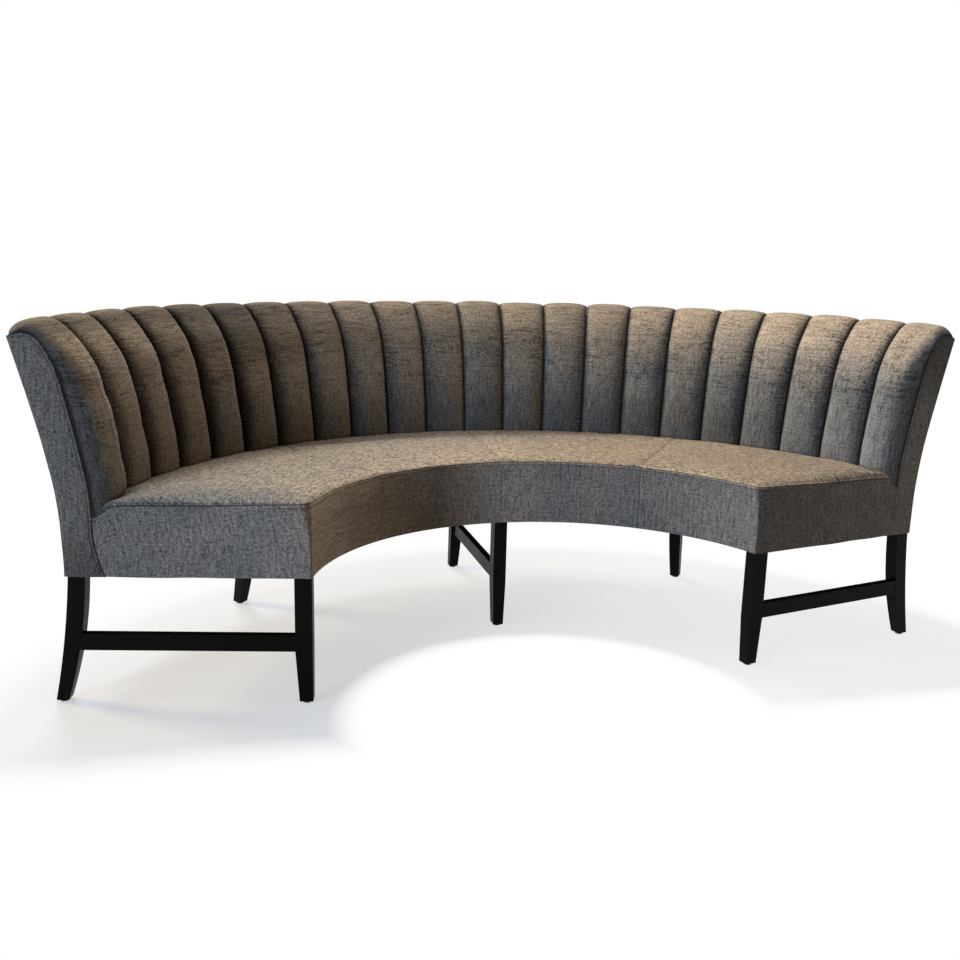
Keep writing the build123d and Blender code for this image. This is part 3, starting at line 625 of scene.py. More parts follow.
# Band below the seat's edge: rows run along the front, round the corner and along the end face. onEnd is 0 on
# the front and 1 on the end face, an S over the corner's rows.
def bandGrid(quarter, side):
    back, height = bandColumns(seat["frontRise"], seat["edgeRound"], seat["seamTurn"])
    if quarter == "middle":
        turn = np.linspace(90, quarterTurn, band["frontRows"])[:, None]
        return placed(frontRadius + back, turn, height, side), np.zeros(len(turn))
    foot = webbingTop - 0.012
    rise = np.clip((height - foot) / (height[-1] - foot), 0, 1)
    corner = band["cornerFoot"] + (seat["cornerRound"] - band["cornerFoot"]) * rise ** 1.3
    turned = np.maximum(corner, back)           # where the corner's rounding begins
    start = insideEnd(frontRadius + back, quarterTurn)
    share = crowded(band["frontRows"], 0, 5)[:, None]
    frontInside = start + (turned - start) * share
    frontBehind = back + 0 * frontInside
    bend = np.radians(np.linspace(0, 90, band["cornerRows"]))[1:-1, None]
    cornerInside = turned - (turned - back) * np.sin(bend)
    cornerBehind = turned - (turned - back) * np.cos(bend)
    share = crowded(band["endRows"], 5, 2)[:, None]
    first = frontRadius + turned.mean()
    radius = first + (backRadius - first) * share[:, 0]
    endBack, endHeight = bandColumns(crownHeight(radius), endRounding(radius), endSeamAngle(radius))
    cut = np.interp(endHeight, seamPoints[:200, 1], seamPoints[:200, 0])
    cutBehind = np.hypot(cut, endOffset + endBack) - frontRadius - 0.0004
    endBehind = turned + (cutBehind - turned) * share
    blend = rising(share * 12)      # the end's section takes over from the corner's
    endInside = back + (endBack - back) * blend
    endHeight = height + (endHeight - height) * blend
    behind = np.concatenate([frontBehind, cornerBehind, endBehind])
    inside = np.concatenate([frontInside, cornerInside, endInside])
    heights = np.concatenate([height + 0 * frontInside, height + 0 * cornerInside, endHeight])
    onEnd = rising(np.arange(len(behind)), band["frontRows"] - 1, band["cornerRows"] - 1)
    radius = frontRadius + behind
    return drawCorner(placed(radius, endTurn(radius, inside), heights, side), side), onEnd


# Channels of the back
channel = {
    "perSide": 11,
    "endShare": 0.84,           # width of the channel at an end, as a share of the others
    # line of the grooves: radius, height
    "groove": [(1.0670, 0.449), (1.0670, 0.499), (1.0900, 0.670), (1.1320, 0.805), (1.1740, 0.860),
               (1.2190, 0.887), (1.2535, 0.861), (1.2525, 0.846)],
    "foot": 0.4945,             # height where the channels meet the seat
    "endFoot": 0.4500,          # the last one reaches further down, beside the seat
    "riseFoot": 0.0225, "riseEdge": 0.0100,
    "depth": 0.0225,
    # the last channel's outer side: how far it goes under the end panel, its flat wall along the end face
    # with a welt on it, and how much lower its crest lies
    "endTuck": 0.0015, "endInset": 0.0012, "wall": 0.0095, "wallColumns": 9,
    "welt": 0.0014, "weltPlace": 0.0036, "weltWidth": 0.0015, "endSink": 0.0045,
    "fullness": 2.8,
    "rows": 221, "columns": 49, "stride": 4,
    "gap": 0.0002,
    "groovePlay": 0.0018,       # chance shift of a groove
    "risePlay": 0.0016,
    "gather": 0.0013, "gatherPitch": 0.0115, "gatherReach": 0.0105,
    # painted brightness low down, half-way and at the top, by the number of the channel from the -X end
    "paintedBrightnessPlaces": (1, 3, 6, 9, 12, 15, 18, 20, 22),
    "paintedBrightnessLow": (1.15, 1.12, 0.84, 0.98, 0.94, 0.94, 0.94, 1.35, 1.70),
    "paintedBrightnessMiddle": (1.30, 1.20, 1.20, 1.38, 1.20, 1.32, 1.36, 1.34, 1.40),
    "paintedBrightnessTop": (1.18, 1.05, 0.46, 0.92, 0.92, 1.08, 1.48, 1.60, 1.65),
    "paintedBrightnessCrest": (0.55, 0.55, 0.70, 0.95, 1.0, 1.0, 1.0, 1.0, 0.95),    # painted shade on the crest: the share of brightness the crest itself keeps
    "shade": (0.40, 0.80, 0.85, 0.50, 0.30, 0.45, 0.60, 0.58, 0.48),     # painted shade: brightness lost on the side towards its end
    # heights over which painted light turns the pile warm and one painted brightness takes over from the
    # other: start and reach
    "warmFrom": (0.56, 0.28), "middleFrom": (0.56, 0.13), "topFrom": (0.69, 0.13),
    "crestFrom": (0.845, 0.035), "lessShadeFrom": (0.79, 0.06),
    "outermostFrom": (8.8, 1.5),        # by how many channels away from the middle
    # painted shade in the grooves: depth and width; height where fine folds begin: start and reach
    "crease": (0.95, 0.0092), "crinkleFrom": (0.585, 0.13),
    "crestSink": 0.0040,        # the crests are lower near the ends
}
pitchTurn = (90 - endTurn(backRadius, 0)) / (channel["perSide"] - 1 + channel["endShare"])
grooveFine = lineThrough(channel["groove"], np.linspace(0, 1, 1200))
grooveChance = np.random.default_rng(21).uniform(-1, 1, (2, channel["perSide"] + 1)) * channel["groovePlay"]
grooveChance[:, [0, -1]] = 0


# Front of one channel as a grid: rows go up along the grooves, columns from the inner groove to the outer
# one. It stands off the straight line between the grooves by rise times the root of 1 - |v| to the fullness,
# where v runs from -1 to 1. The last channel falls on its outer side to a flat wall on the end face, which
# goes to the seam of the end panel.
def channelGrid(index, side):
    last = index == channel["perSide"] - 1
    foot = channel["endFoot"] if last else channel["foot"]
    start = np.interp(foot, grooveFine[:600, 1], np.linspace(0, 599 / 1199, 600))
    shares = start + (1 - start) * crowded(channel["rows"], 0.5, 2.2, 0.12)
    line = lineThrough(channel["groove"], shares)
    square = squareTo(line)
    wallShare = np.zeros(channel["columns"])
    if last:
        wallShare[-channel["wallColumns"]:] = np.linspace(0, 1, channel["wallColumns"] + 1)[1:]
    v = np.sin(np.linspace(-1, 1, np.count_nonzero(wallShare == 0)) * np.pi / 2)
    v = np.concatenate([v, np.ones(channel["columns"] - len(v))])[None, :]
    chance = grooveChance[(side + 1) // 2] / 1.1        # as an angle at about the middle radius
    inner = 90 - pitchTurn * index - np.degrees(chance[index] + channel["gap"])
    outer = 90 - pitchTurn * (index + 1) - np.degrees(chance[index + 1] - channel["gap"])
    half, middle = (inner - outer) / 2, (inner + outer) / 2
    edge = np.clip((shares - 0.02) / 0.93, 0, 1)[:, None]
    rise = channel["riseFoot"] + (channel["riseEdge"] - channel["riseFoot"]) * edge ** 2
    seed = 40 + 2 * index + (side > 0)
    rise = rise + channel["risePlay"] * waviness(np.stack([shares * 5, 0 * shares], -1), 1.0, seed)[:, None]
    rise = rise * (1 - 0.8 * rising(shares, 0.955, 0.045))[:, None]
    footRound = np.clip((line[:, 1] - channel["foot"]) / 0.013, 0, 1)[:, None]
    rise = rise * (0.72 + 0.28 * np.sqrt(1 - (1 - footRound) ** 2))
    profile = np.sqrt(np.clip(1 - np.abs(v) ** channel["fullness"], 0, 1))
    thinning = (1 - 0.75 * rising(shares, 0.84, 0.12))[:, None]
    upper = rising(shares, 0.55, 0.25)[:, None] * thinning
    off = rise * profile
    chord = np.cos(np.radians(half)) / np.cos(np.radians(half) * v)
    radius = line[:, :1] * chord + square[:, :1] * off
    height = line[:, 1:] + square[:, 1:] * off
    turn = middle - half * v
    back = line - square * channel["depth"] * thinning
    rear = [placed(back[:, 0], end, back[:, 1], side) for end in (inner, outer)]
    if last:
        share = (shares - shares[0]) / (1 - shares[0])
        low = np.interp(foot, seamPoints[:150, 1], np.linspace(0, 149 / 299, 150))
        seam = lineThrough(endFace["seam"], low + (1 - low) * share)
        seam[:, 0] = np.hypot(seam[:, 0], endOffset)
        away = squareTo(seam)
        edge = (seam - away * channel["endTuck"] * thinning)[:, None]
        lip = (seam + away * channel["wall"] * thinning)[:, None]
        crest = (line + square * rise)[:, None]
        fallen = lip + (crest - lip) * profile[..., None]
        fallen = np.where(wallShare[None, :, None] > 0, lip + (edge - lip) * wallShare[None, :, None], fallen)
        radius, height = (np.where(v > 0, fallen[..., k], old) for k, old in enumerate((radius, height)))
        height = height - channel["endSink"] * rising(v, -0.9, 1.6) * upper
        beforeSeam = channel["wall"] - wallShare[None, :] * (channel["wall"] + channel["endTuck"])
        welt = channel["welt"] * bell(beforeSeam - channel["weltPlace"], channel["weltWidth"])
        inset = channel["endInset"] - welt * (wallShare[None, :] > 0) * thinning
        turn = inner + (endTurn(radius, inset) - inner) * (v + 1) / 2
        back = edge[:, 0] - away * 0.006 * thinning
        rear[1] = placed(back[:, 0], endTurn(back[:, 0], channel["endInset"]), back[:, 1], side)
    front = placed(radius, turn, height, side)
    sink = channel["crestSink"] * rising(np.abs(front[..., 0]), 0.98, 0.15) * upper
    front[..., 2] -= sink * (1 - rising(v, 0.3, 0.4) if last else 1)
    return front, rear


# Small gathers: the front moves in and out by a wave along each groove, strongest at a reach from it, by
# (x e^(1 - x)) squared with x the distance over the reach. sides gives the depth at either groove.
def addGathers(grid, outward, seed, sides):
    normals = gridNormals(grid, outward)
    run = runLength(grid, 1)
    along = runLength(grid[:, 0])
    spread = np.stack([along, 0 * along], -1)
    move = 0
    for k, (away, strength) in enumerate(zip((run, run[:, -1:] - run), sides)):
        phase = 2 * np.pi * along / channel["gatherPitch"] + 2.2 * waviness(spread, 0.045, seed + 7 * k)
        depth = np.clip(0.55 + 0.55 * waviness(spread, 0.060, seed + 7 * k + 3), 0.05, 1.3)
        x = away / channel["gatherReach"]
        move = move + strength * (depth * (np.cos(phase) - 0.6))[:, None] * (x * np.exp(1 - x)) ** 2
    return grid + normals * (channel["gather"] * move)[..., None]


# Carries moves of a coarse grid, with one more beyond each end, to the fine one by cubic B-spline weights:
# 2/3 - d^2 + d^3/2 up to a distance d of 1, then (2 - d)^3/6
def refined(moves, stride):
    for axis in (0, 1):
        moves = np.moveaxis(moves, axis, 0)
        fine = np.arange(stride * (len(moves) - 1) + 1)[:, None] / stride
        d = np.abs(fine - np.arange(-1, len(moves) + 1))
        weights = np.where(d < 1, 2 / 3 - d ** 2 + d ** 3 / 2, (2 - np.minimum(d, 2)) ** 3 / 6)
        moves = np.concatenate([2 * moves[:1] - moves[1:2], moves, 2 * moves[-1:] - moves[-2:-1]])
        moves = np.moveaxis(np.tensordot(weights, moves, 1), 0, axis)
    return moves


cloth = {"pressure": 4.0, "frames": 20, "slack": -0.004, "damping": 6.0, "padCap": 0.0030,
         "channelCap": 0.0060, "pinnedUnderBack": 0.045}


# Blows the cloth of all the padded pieces up together. Each job is (coarse grid, outward, pinned, cap):
# pinned points stay, and no other one moves further than the cap.
def swollen(jobs):
    points, faces, pins, first = [], [], [], 0
    for grid, outward, pinned, _ in jobs:
        faces.append(facesToward(grid, outward, first))
        points.append(grid.reshape(-1, 3))
        pins.append(np.nonzero(pinned.ravel())[0] + first)
        first += len(points[-1])
    start = np.concatenate(points)
    mesh = bpy.data.meshes.new("blown")
    mesh.from_pydata(start.tolist(), [], np.concatenate(faces).tolist())
    blown = newObject("blown", mesh)
    scene = bpy.context.scene
    blown.vertex_groups.new(name="pinned").add(np.concatenate(pins).tolist(), 1.0, "REPLACE")
    modifier = blown.modifiers.new("cloth", "CLOTH")
    modifier.point_cache.frame_start, modifier.point_cache.frame_end = 1, cloth["frames"]
    settings = modifier.settings
    settings.vertex_group_mass = "pinned"
    settings.use_pressure = True
    settings.uniform_pressure_force = cloth["pressure"]
    settings.shrink_min = cloth["slack"]
    settings.effector_weights.gravity = 0
    settings.air_damping = cloth["damping"]
    modifier.collision_settings.use_collision = False
    for step in range(1, cloth["frames"] + 1):
        scene.frame_set(step)
    end = np.zeros(len(start) * 3, np.float32)
    blown.evaluated_get(bpy.context.evaluated_depsgraph_get()).data.vertices.foreach_get("co", end)
    moves = end.reshape(-1, 3) - start
    bpy.data.objects.remove(blown)
    scene.frame_set(1)
    result, first = [], 0
    for grid, _, pinned, cap in jobs:
        move = moves[first:first + pinned.size].reshape(grid.shape)
        length = np.maximum(apart(move, 0), 1e-9)[..., None]
        result.append(move * (cap * np.tanh(length / cap) / length) * ~pinned[..., None])
        first += pinned.size
    return result


def facing(grid):       # from the middle of a grid towards the axis of the curve, and up
    middle = grid[grid.shape[0] // 2, grid.shape[1] // 2]
    return np.array([-middle[0], axisY - middle[1], 0.4])


# All the padded fronts, first as drawn, then blown up
sideName = {-1: "left", 1: "right"}
quarters = [(quarter, side, sideName[side] + "_" + quarter)
            for quarter in ("middle", "end") for side in (-1, 1)]
channels = [(index, side) for side in (-1, 1) for index in range(channel["perSide"])]
padGrids = [padGrid(quarter, side) for quarter, side, _ in quarters]
fronts, rears = zip(*[channelGrid(*job) for job in channels])
jobs = []
for grid in padGrids:
    coarse = grid[::pad["stride"], ::pad["stride"]]
    pinned = np.hypot(coarse[..., 0], coarse[..., 1] - axisY) > backRadius - cloth["pinnedUnderBack"]
    jobs.append((coarse, (0, 0, 1), pinned, cloth["padCap"]))
for (index, _), grid in zip(channels, fronts):
    coarse = grid[::channel["stride"], ::channel["stride"]]
    pinned = np.zeros(coarse.shape[:2], bool)
    if index == channel["perSide"] - 1:
        pinned[:, -channel["wallColumns"] // channel["stride"] - 1:] = True
    jobs.append((coarse, facing(grid), pinned, cloth["channelCap"]))
for _, _, pinned, _ in jobs:
    pinned[[0, -1]] = True
    pinned[:, [0, -1]] = True
moves = swollen(jobs)
padGrids = [grid + refined(move, pad["stride"]) for grid, move in zip(padGrids, moves)]
fronts = [grid + refined(move, channel["stride"]) for grid, move in zip(fronts, moves[len(padGrids):])]
print("cloth blown up, largest move", max(np.abs(m).max() for m in moves))


# Seat pads: the border folds in under the seams and goes down to the webbing
stitchPaths = []
for seed, ((quarter, side, name), grid) in enumerate(zip(quarters, padGrids)):
    flat = grid[..., :2].copy()
    fromFirst, fromLast, fromFront = (apart(grid, line) for line in (grid[:1], grid[-1:], grid[:, :1]))
    fromSeam = np.minimum(fromFirst, fromLast) if quarter == "middle" else fromFirst
    fromEdge = fromFront if quarter == "middle" else np.minimum(fromFront, fromLast)
    pinch, light = sewn(paintedHighlightPad if name == "right_end" else pad, fromEdge)
    soft = waviness(flat, 0.15, 3) + 0.4 * waviness(flat, 0.05, 4)
    grid[..., 2] -= pinch + pad["seamPinch"] * bell(fromSeam, pad["seamWidth"])
    grid[..., 2] += pad["wave"] * soft * rising(fromEdge, 0, 0.03)
    x, y = grid[..., 0], grid[..., 1] - axisY
    radius = np.hypot(x, y)
    # pile tone with painted light by facing, turned to slate as painted shade at the left and by the left end
    # face
    napAndPaintedLight = pileToneAndPaintedLight(gridNormals(grid, (0, 0, 1))) + 0.06 * waviness(flat, 0.30, 8) + steps(x, pad["napAndPaintedLightLeft"])
    if side < 0:
        napAndPaintedLight = napAndPaintedLight + steps(insideEnd(radius, np.degrees(np.arctan2(y, -x))), pad["napAndPaintedLightEnd"])
    # painted shadow of the back on a strip along the rear, which also turns the tone warmer
    start, kept = (np.interp(x, pad["shadowStripPlaces"], pad[key]) for key in ("shadowStripStart", "shadowStripLight"))
    fade = pad["shadowStripFade"] + steps(x, pad["shadowStripFadeLeft"])
    strip = rising(radius + 0.004 * waviness(flat, 0.12, 9), start, fade)
    # painted brightness by x, less in the painted shadow strip, with painted shade in the seam and stitch
    # creases and a painted highlight on the ridge
    paintedBrightness = (pad["paintedBrightness"] + steps(x, *pad["paintedBrightnessRight"])) * (1 + steps(x, pad["paintedBrightnessLeft"]))
    paintedBrightness = paintedBrightness * (1 - (1 - kept) * strip) * light * paintedCreaseLight(fromSeam, *pad["seamCreaseShade"])
    mesh = skirtMesh("pad", grid, clothPlaces(grid, (0.7 * seed, 0.3), True), napAndPaintedLight + pad["shadowStripNap"] * strip,
                     paintedBrightness, pad["fold"], pad["drop"], webbingTop + 0.0002)
    piece = newPiece("seatPad_" + name, mesh, "chenille", seatMaterial)
    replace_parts(piece, "seat_foam_" + name)
    # the column and the row nearest to the stitch line
    stitchPaths.append(grid[:, np.argmin(np.abs(fromFront[20] - pad["stitchLine"]))])
    if quarter == "end":
        stitchPaths.append(grid[np.argmin(np.abs(fromLast[:, 48] - pad["stitchLine"])), 5:90])
print("seat pads made")

# Bands: front and end panels with their hem
for quarter, side, name in quarters:
    grid, onEnd = bandGrid(quarter, side)
    outward = facing(grid[:60])
    normals = gridNormals(grid, outward)
    places = clothPlaces(grid, (0, 2.0), True)
    length = places[:, 12, :1].copy()
    seams = [length[0], length[-1] if quarter == "middle" else length[np.searchsorted(onEnd, 0.5)]]
    places[..., 0] = side * (places[..., 0] + (band["flat"]["middle"][0][0] if quarter == "end" else 0))
    z = grid[..., 2]
    edge = apart(grid, grid[:, -1:])
    soft = band["wave"] * waviness(grid, 0.09, 60) * rising(z, underside, 0.01)
    soft = soft * rising(z, seatHeight - 0.010, -0.02)
    pinch, light = sewn(band, edge)
    seamPinch = band["seamPinch"] * sum(bell(length - at, band["seamWidth"]) for at in seams)
    pinch = pinch + seamPinch * (0.2 + 0.8 * rising(z, webbingTop, 0.02))
    grid = grid + normals * (soft - pinch)[..., None]
    z = grid[..., 2]
    onEnd = onEnd[:, None]
    along = length / length[-1]
    # painted brightness along the band and the pile tone with painted light by facing
    first, second, third = band["paintedBrightness"][side, quarter]
    if quarter == "middle":
        paintedBrightness = np.interp(along, (0, 0.5, 1), (first, second, third))
        shift = 0.04 + (steps(along, band["napAndPaintedLightLeft"]) if side < 0 else 0)
    else:
        if side < 0:
            first = first * (1 + steps(along, band["paintedBrightnessInner"])) * (1 + steps(z, band["paintedBrightnessUpper"]))
        paintedBrightness = first + (second + (third - second) * (along - 0.5) * 2 - first) * onEnd
        shift = band["napAndPaintedLightFront"] * (1 - onEnd) if side < 0 else 0
    napAndPaintedLight = pileToneAndPaintedLight(gridNormals(grid, outward), shift)
    paintedBrightness = paintedBrightness * light
    # painted shade at the seams
    for at, depth in zip(seams, (0.1, 0.5 if quarter == "end" else 0.1)):
        paintedBrightness = paintedBrightness * paintedCreaseLight(length - at, depth, band["seamWidth"])
    mesh = sheetMesh("band", grid, places, napAndPaintedLight, paintedBrightness, outward, 0.25)
    newSheet("seatBand_" + name, mesh, *band["flat"][quarter],
             ["seatPad_" + name, "seat_front_rail_" + sideName[side]], ["seat_cover_" + name])
print("seat bands made")

# Channels: each front closes behind on its lining. turned is how far the cloth faces its end of the bench,
# from -1 to 1, and the gathers are weaker on the sides that the light hits flat.
for (index, side), grid, rear in zip(channels, fronts, rears):
    outward = facing(grid)
    seed = 90 + 2 * index + (side > 0)
    outerSide = (1.0 if side > 0 else 0.55) * (0.15 if index == channel["perSide"] - 1 else 1.0)
    grid = addGathers(grid, outward, seed, (0.55 if side > 0 else 1.0, outerSide))
    number = channel["perSide"] + 1 + index if side > 0 else channel["perSide"] - index
    z = grid[..., 2]
    # painted brightness by height, with painted shade on the crest
    low, middle, top, crest, shade = (np.interp(number, channel["paintedBrightnessPlaces"], channel[key]) for key in
                                      ("paintedBrightnessLow", "paintedBrightnessMiddle", "paintedBrightnessTop", "paintedBrightnessCrest", "shade"))
    paintedBrightness = low + (middle - low) * rising(z, *channel["middleFrom"])
    paintedBrightness = paintedBrightness + (top - middle) * rising(z, *channel["topFrom"])
    paintedBrightness = paintedBrightness * (1 - (1 - crest) * rising(z, *channel["crestFrom"]))
    normals = gridNormals(grid, outward)
    endward = unit(np.cross(normals[:, 24:25], np.gradient(grid, axis=0)[:, 24:25]))
    endward *= np.sign(endward[100, 0] @ (grid[100, -1] - grid[100, 0]))
    turned = (normals * endward).sum(2)
    outermost = rising(abs(number - 11.5), *channel["outermostFrom"])
    shade = shade * (1 - 0.6 * outermost * rising(z, *channel["lessShadeFrom"]))
    # painted shade on the side that faces its end of the bench, painted light on the side that faces the
    # middle
    paintedBrightness = paintedBrightness * (1 - shade * rising(turned, -0.05, 0.75) + 0.18 * rising(turned, 0, -0.6))
    away = np.minimum(apart(grid, grid[:, :1]), apart(grid, grid[:, -1:]))
    # painted shade in the grooves
    paintedBrightness = paintedBrightness * paintedCreaseLight(away, *channel["crease"])
    # pile tone turned warmer higher up as painted light, with a chance tone for each channel
    tone = 0.10 * rising(z, *channel["warmFrom"]) + 0.05 * np.random.default_rng(seed).uniform(-1, 1)
    napAndPaintedLight = pileToneAndPaintedLight(normals, tone - (0.07 if number > 13 else 0.02))      # a little cooler on the right, as painted light
    # the outermost channels turn slate as painted shade on the side that faces the end
    napAndPaintedLight = napAndPaintedLight - 0.34 * outermost * rising(turned, 0.25, 0.5)
    crinkle = rising(z, *channel["crinkleFrom"]) * (0.75 + 0.35 * waviness(grid, 0.07, seed + 5))
    crinkle = np.clip(crinkle, 0, 1.1) * rising(away, 0, 0.006)
    napAndPaintedLight, paintedBrightness, crinkle = (np.pad(values, ((0, 0), (1, 1)), "edge") for values in (napAndPaintedLight, paintedBrightness, crinkle))
    whole = np.concatenate([rear[0][:, None], grid, rear[1][:, None]], 1)
    mesh = loopMesh("channel", whole, clothPlaces(whole, (0.31 * index, 5.0 + side)), napAndPaintedLight, paintedBrightness, crinkle)
    piece = newPiece("backChannel_%02d" % number, mesh)
    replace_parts(piece, "back_channel_%02d" % number)
print("channels made")

# End panels: flat cloth over the end rib, with a raised lip along its seam
panel = {
    "rows": 170, "columns": 60, "pillow": 0.0020, "lip": 0.0012, "ridgePlace": 0.0040, "lipWidth": 0.0022,
    "stitchLine": 0.0085, "stitchPinch": 0.0006, "stitchWidth": 0.0012, "wave": 0.0006, "clearance": 0.0004,
    "edgeFold": 0.0016, "seamWidth": 0.0015, "rearWidth": 0.0020,
    # painted brightness of the left and the right one, and its change by height: start, reach and height
    "paintedBrightness": {-1: (1.05, (0.45, -0.12, -0.36)), 1: (1.20, (0.60, 0.22, -0.55))},
    # painted shade in the creases by the edge and the stitches, and a painted highlight on the ridge: depth
    # and width
    "edgeCreaseShade": (0.85, 0.0030), "ridge": (-0.15, 0.0016), "stitchCreaseShade": (0.6, 0.0016),
}


# Points of an end panel: fromSeam is the distance from its seam as a function of the width there. It stands
# out by a flat pillow and a lip near the seam, less a stitch line and a fold at both edges.
def panelPoints(t, fromSeam, side):
    seam = lineThrough(endFace["seam"], t)
    rear = lineThrough(endFace["outside"], t)
    rear[:, 0] = np.sqrt(rear[:, 0] ** 2 - endOffset ** 2)
    width = np.linalg.norm(rear - seam, axis=1)[:, None]
    away = fromSeam(width)
    place = seam[:, None] + (rear - seam)[:, None] * (away / width)[..., None]
    along, height = place[..., 0], place[..., 1]
    out = panel["pillow"] * (1 - (2 * away / width - 1) ** 4) * rising(width, 0, 0.08)
    out = out + panel["lip"] * bell(away - panel["ridgePlace"], panel["lipWidth"]) * rising(width, 0, 0.03)
    out = out - sewn(panel, away)[0]
    out = out - panel["edgeFold"] * (bell(away, panel["seamWidth"]) + bell(width - away, panel["rearWidth"]))
    out = out + panel["wave"] * waviness(place, 0.12, 70 + side)
    radius = np.hypot(along, endOffset + panel["clearance"] - out)
    return placed(radius, endTurn(radius, panel["clearance"] - out), height, side), place


for side in (-1, 1):
    shares = crowded(panel["columns"], 5, 3)[None, :]
    grid, place = panelPoints(crowded(panel["rows"], 0.5, 2), lambda width: shares * width, side)
    tilt = np.radians(endAngle)
    outward = (side * np.sin(tilt), -np.cos(tilt), 0)
    # painted brightness by height with painted shade and highlight by the seam, and the pile tone with painted
    # light by the panel's facing
    start, change = panel["paintedBrightness"][side]
    paintedBrightness = (start + steps(grid[..., 2], change)) * sewn(panel, apart(grid, grid[:, :1]))[1]
    mesh = sheetMesh("panel", grid, place + (3.0 * side, 0), pileToneAndPaintedLight(np.array(outward)), paintedBrightness, outward, 0.1)
    newSheet("endPanel_" + sideName[side], mesh, (0.190, 0.600), 0.0445,
             ["back_ribs"], ["end_panel_" + sideName[side]])
print("end panels made")

# Outside of the back: one sheet to each quarter, turned in at its low edge and its top
outside = {"rows": 60, "columns": 70, "seamPinch": 0.0012, "seamWidth": 0.003, "wave": 0.0006,
           "flat": {"middle": ((0.820, 0.585), 0.4480), "end": ((0.900, 0.585), 0.4900)},
           "lowTurn": [(1.1500, 0.3109), (1.1560, 0.3109), (1.1620, 0.3108)],
           "topTurn": [(1.2532, 0.8580), (1.2512, 0.8590)]}
wall = lineThrough(endFace["outside"], crowded(outside["columns"], 2, 3))
section = np.concatenate([outside["lowTurn"], wall, outside["topTurn"]])
for seed, (quarter, side, name) in enumerate(quarters):
    start, end = 90.0, quarterTurn
    if quarter == "end":
        start, end = quarterTurn, endTurn(section[:, 0], 0.0008)[None, :]
    turn = start + (end - start) * crowded(outside["rows"], 2, 2)[:, None]
    length = np.radians(turn) * section[:, 0]
    away = np.abs(length - length[0])
    if quarter == "middle":
        away = np.minimum(away, np.abs(length - length[-1]))
    wave = outside["wave"] * waviness(np.stack([length, section[:, 1] + 0 * length], -1), 0.14, 81 + seed)
    wave[:, :4] = 0
    radius = section[:, 0] - outside["seamPinch"] * bell(away, outside["seamWidth"]) + wave
    grid = placed(radius, turn, section[:, 1], side)
    outward = -facing(grid) * (1, 1, 0)
    # pile tone with painted light by facing
    mesh = sheetMesh("outside", grid, clothPlaces(grid, (1.1 * seed, 8.0), True),
                     pileToneAndPaintedLight(gridNormals(grid, outward)), 1.0, outward)
    newSheet("outsideBack_" + name, mesh, *outside["flat"][quarter],
             ["back_ribs", "back_top_rail"], ["outer_back_cover_" + name])
print("outside of the back made")

# Dust cloth under the frame, stapled at both edges and sagging a little between them
dust = {"inner": 0.6290, "outer": 1.1560, "rows": 241, "columns": 24, "sag": 0.0025}
share = np.linspace(0, 1, dust["columns"])[None, :]
along = np.linspace(0, 1, dust["rows"])[:, None]
radius = dust["inner"] + (dust["outer"] - dust["inner"]) * share
turn = endTurn(radius, 0.003)
turn = turn + (180 - 2 * turn) * along
sag = 0.6 + 0.4 * waviness(np.stack([turn / 20, 3 * share + 0 * turn], -1), 1, 5)
grid = placed(radius, turn, underside + 0.0006 - dust["sag"] * np.sin(np.pi * share) * sag, 1)
mesh = sheetMesh("dust", grid, clothPlaces(grid), 0.0, 1.0, (0, 0, -1))
newSheet("dustCloth", mesh, (2.260, 0.980), 1.240,
         ["seat_front_rail_left", "seat_rear_rail_left", "seat_front_rail_right", "seat_rear_rail_right"],
         ["dust_cover"], "dust_cloth", 0.0005)
print("dust cloth made")

# Top stitching: small capsules of thread along the seams
thread = {"pitch": 0.0072, "length": 0.0050, "radius": 0.00042, "sides": 6}


# Capsules along a path: rings of points round five places of each stitch, wide in the middle
def stitchPoints(path):
    run = runLength(path)
    centres = np.arange(thread["pitch"], run[-1] - thread["pitch"], thread["pitch"])
    middle, before, after = (np.stack([np.interp(centres + shift, run, path[:, i]) for i in range(3)], -1)
                             for shift in (0, -0.002, 0.002))
    along = unit(after - before)
    across = unit(np.cross(along, (0.0, 0.3, 1.0)))
    third = np.cross(across, along)
    place = np.array([-0.5, -0.42, 0, 0.42, 0.5]) * thread["length"]
    girth = np.array([0.25, 0.9, 1.0, 0.9, 0.25]) * thread["radius"]
    turn = np.arange(thread["sides"]) * 2 * np.pi / thread["sides"]
    around = across[:, None] * np.cos(turn)[None, :, None] + third[:, None] * np.sin(turn)[None, :, None]
    return (middle[:, None, None] + along[:, None, None] * place[None, :, None, None]
            + around[:, None] * girth[None, :, None, None])


stitches = np.concatenate([stitchPoints(path) for path in stitchPaths])
count, rings, sides = stitches.shape[:3]
ring = np.arange(rings * sides).reshape(rings, sides)
tube = quads(np.pad(ring, ((0, 0), (0, 1)), "wrap").T)
first = (np.arange(count) * rings * sides)[:, None, None]
faces = (tube[None] + first).reshape(-1, 4).tolist()
faces += (ring[0][None] + first[:, 0]).tolist() + (ring[-1][None, ::-1] + first[:, 0]).tolist()
mesh = clothMesh("stitching", stitches, faces, np.zeros((count * rings * sides, 2)), 0.55, 0.6)
newPiece("topStitching", mesh)
print("stitching made,", count, "stitches")


# Puts an object in its place, with its axes pointing right, up and back
def stand(thing, right, up, back, place):
    matrix = np.eye(4)
    matrix[:3] = np.stack([right, up, back, place], 1)
    thing.matrix_world = Matrix(matrix.tolist())


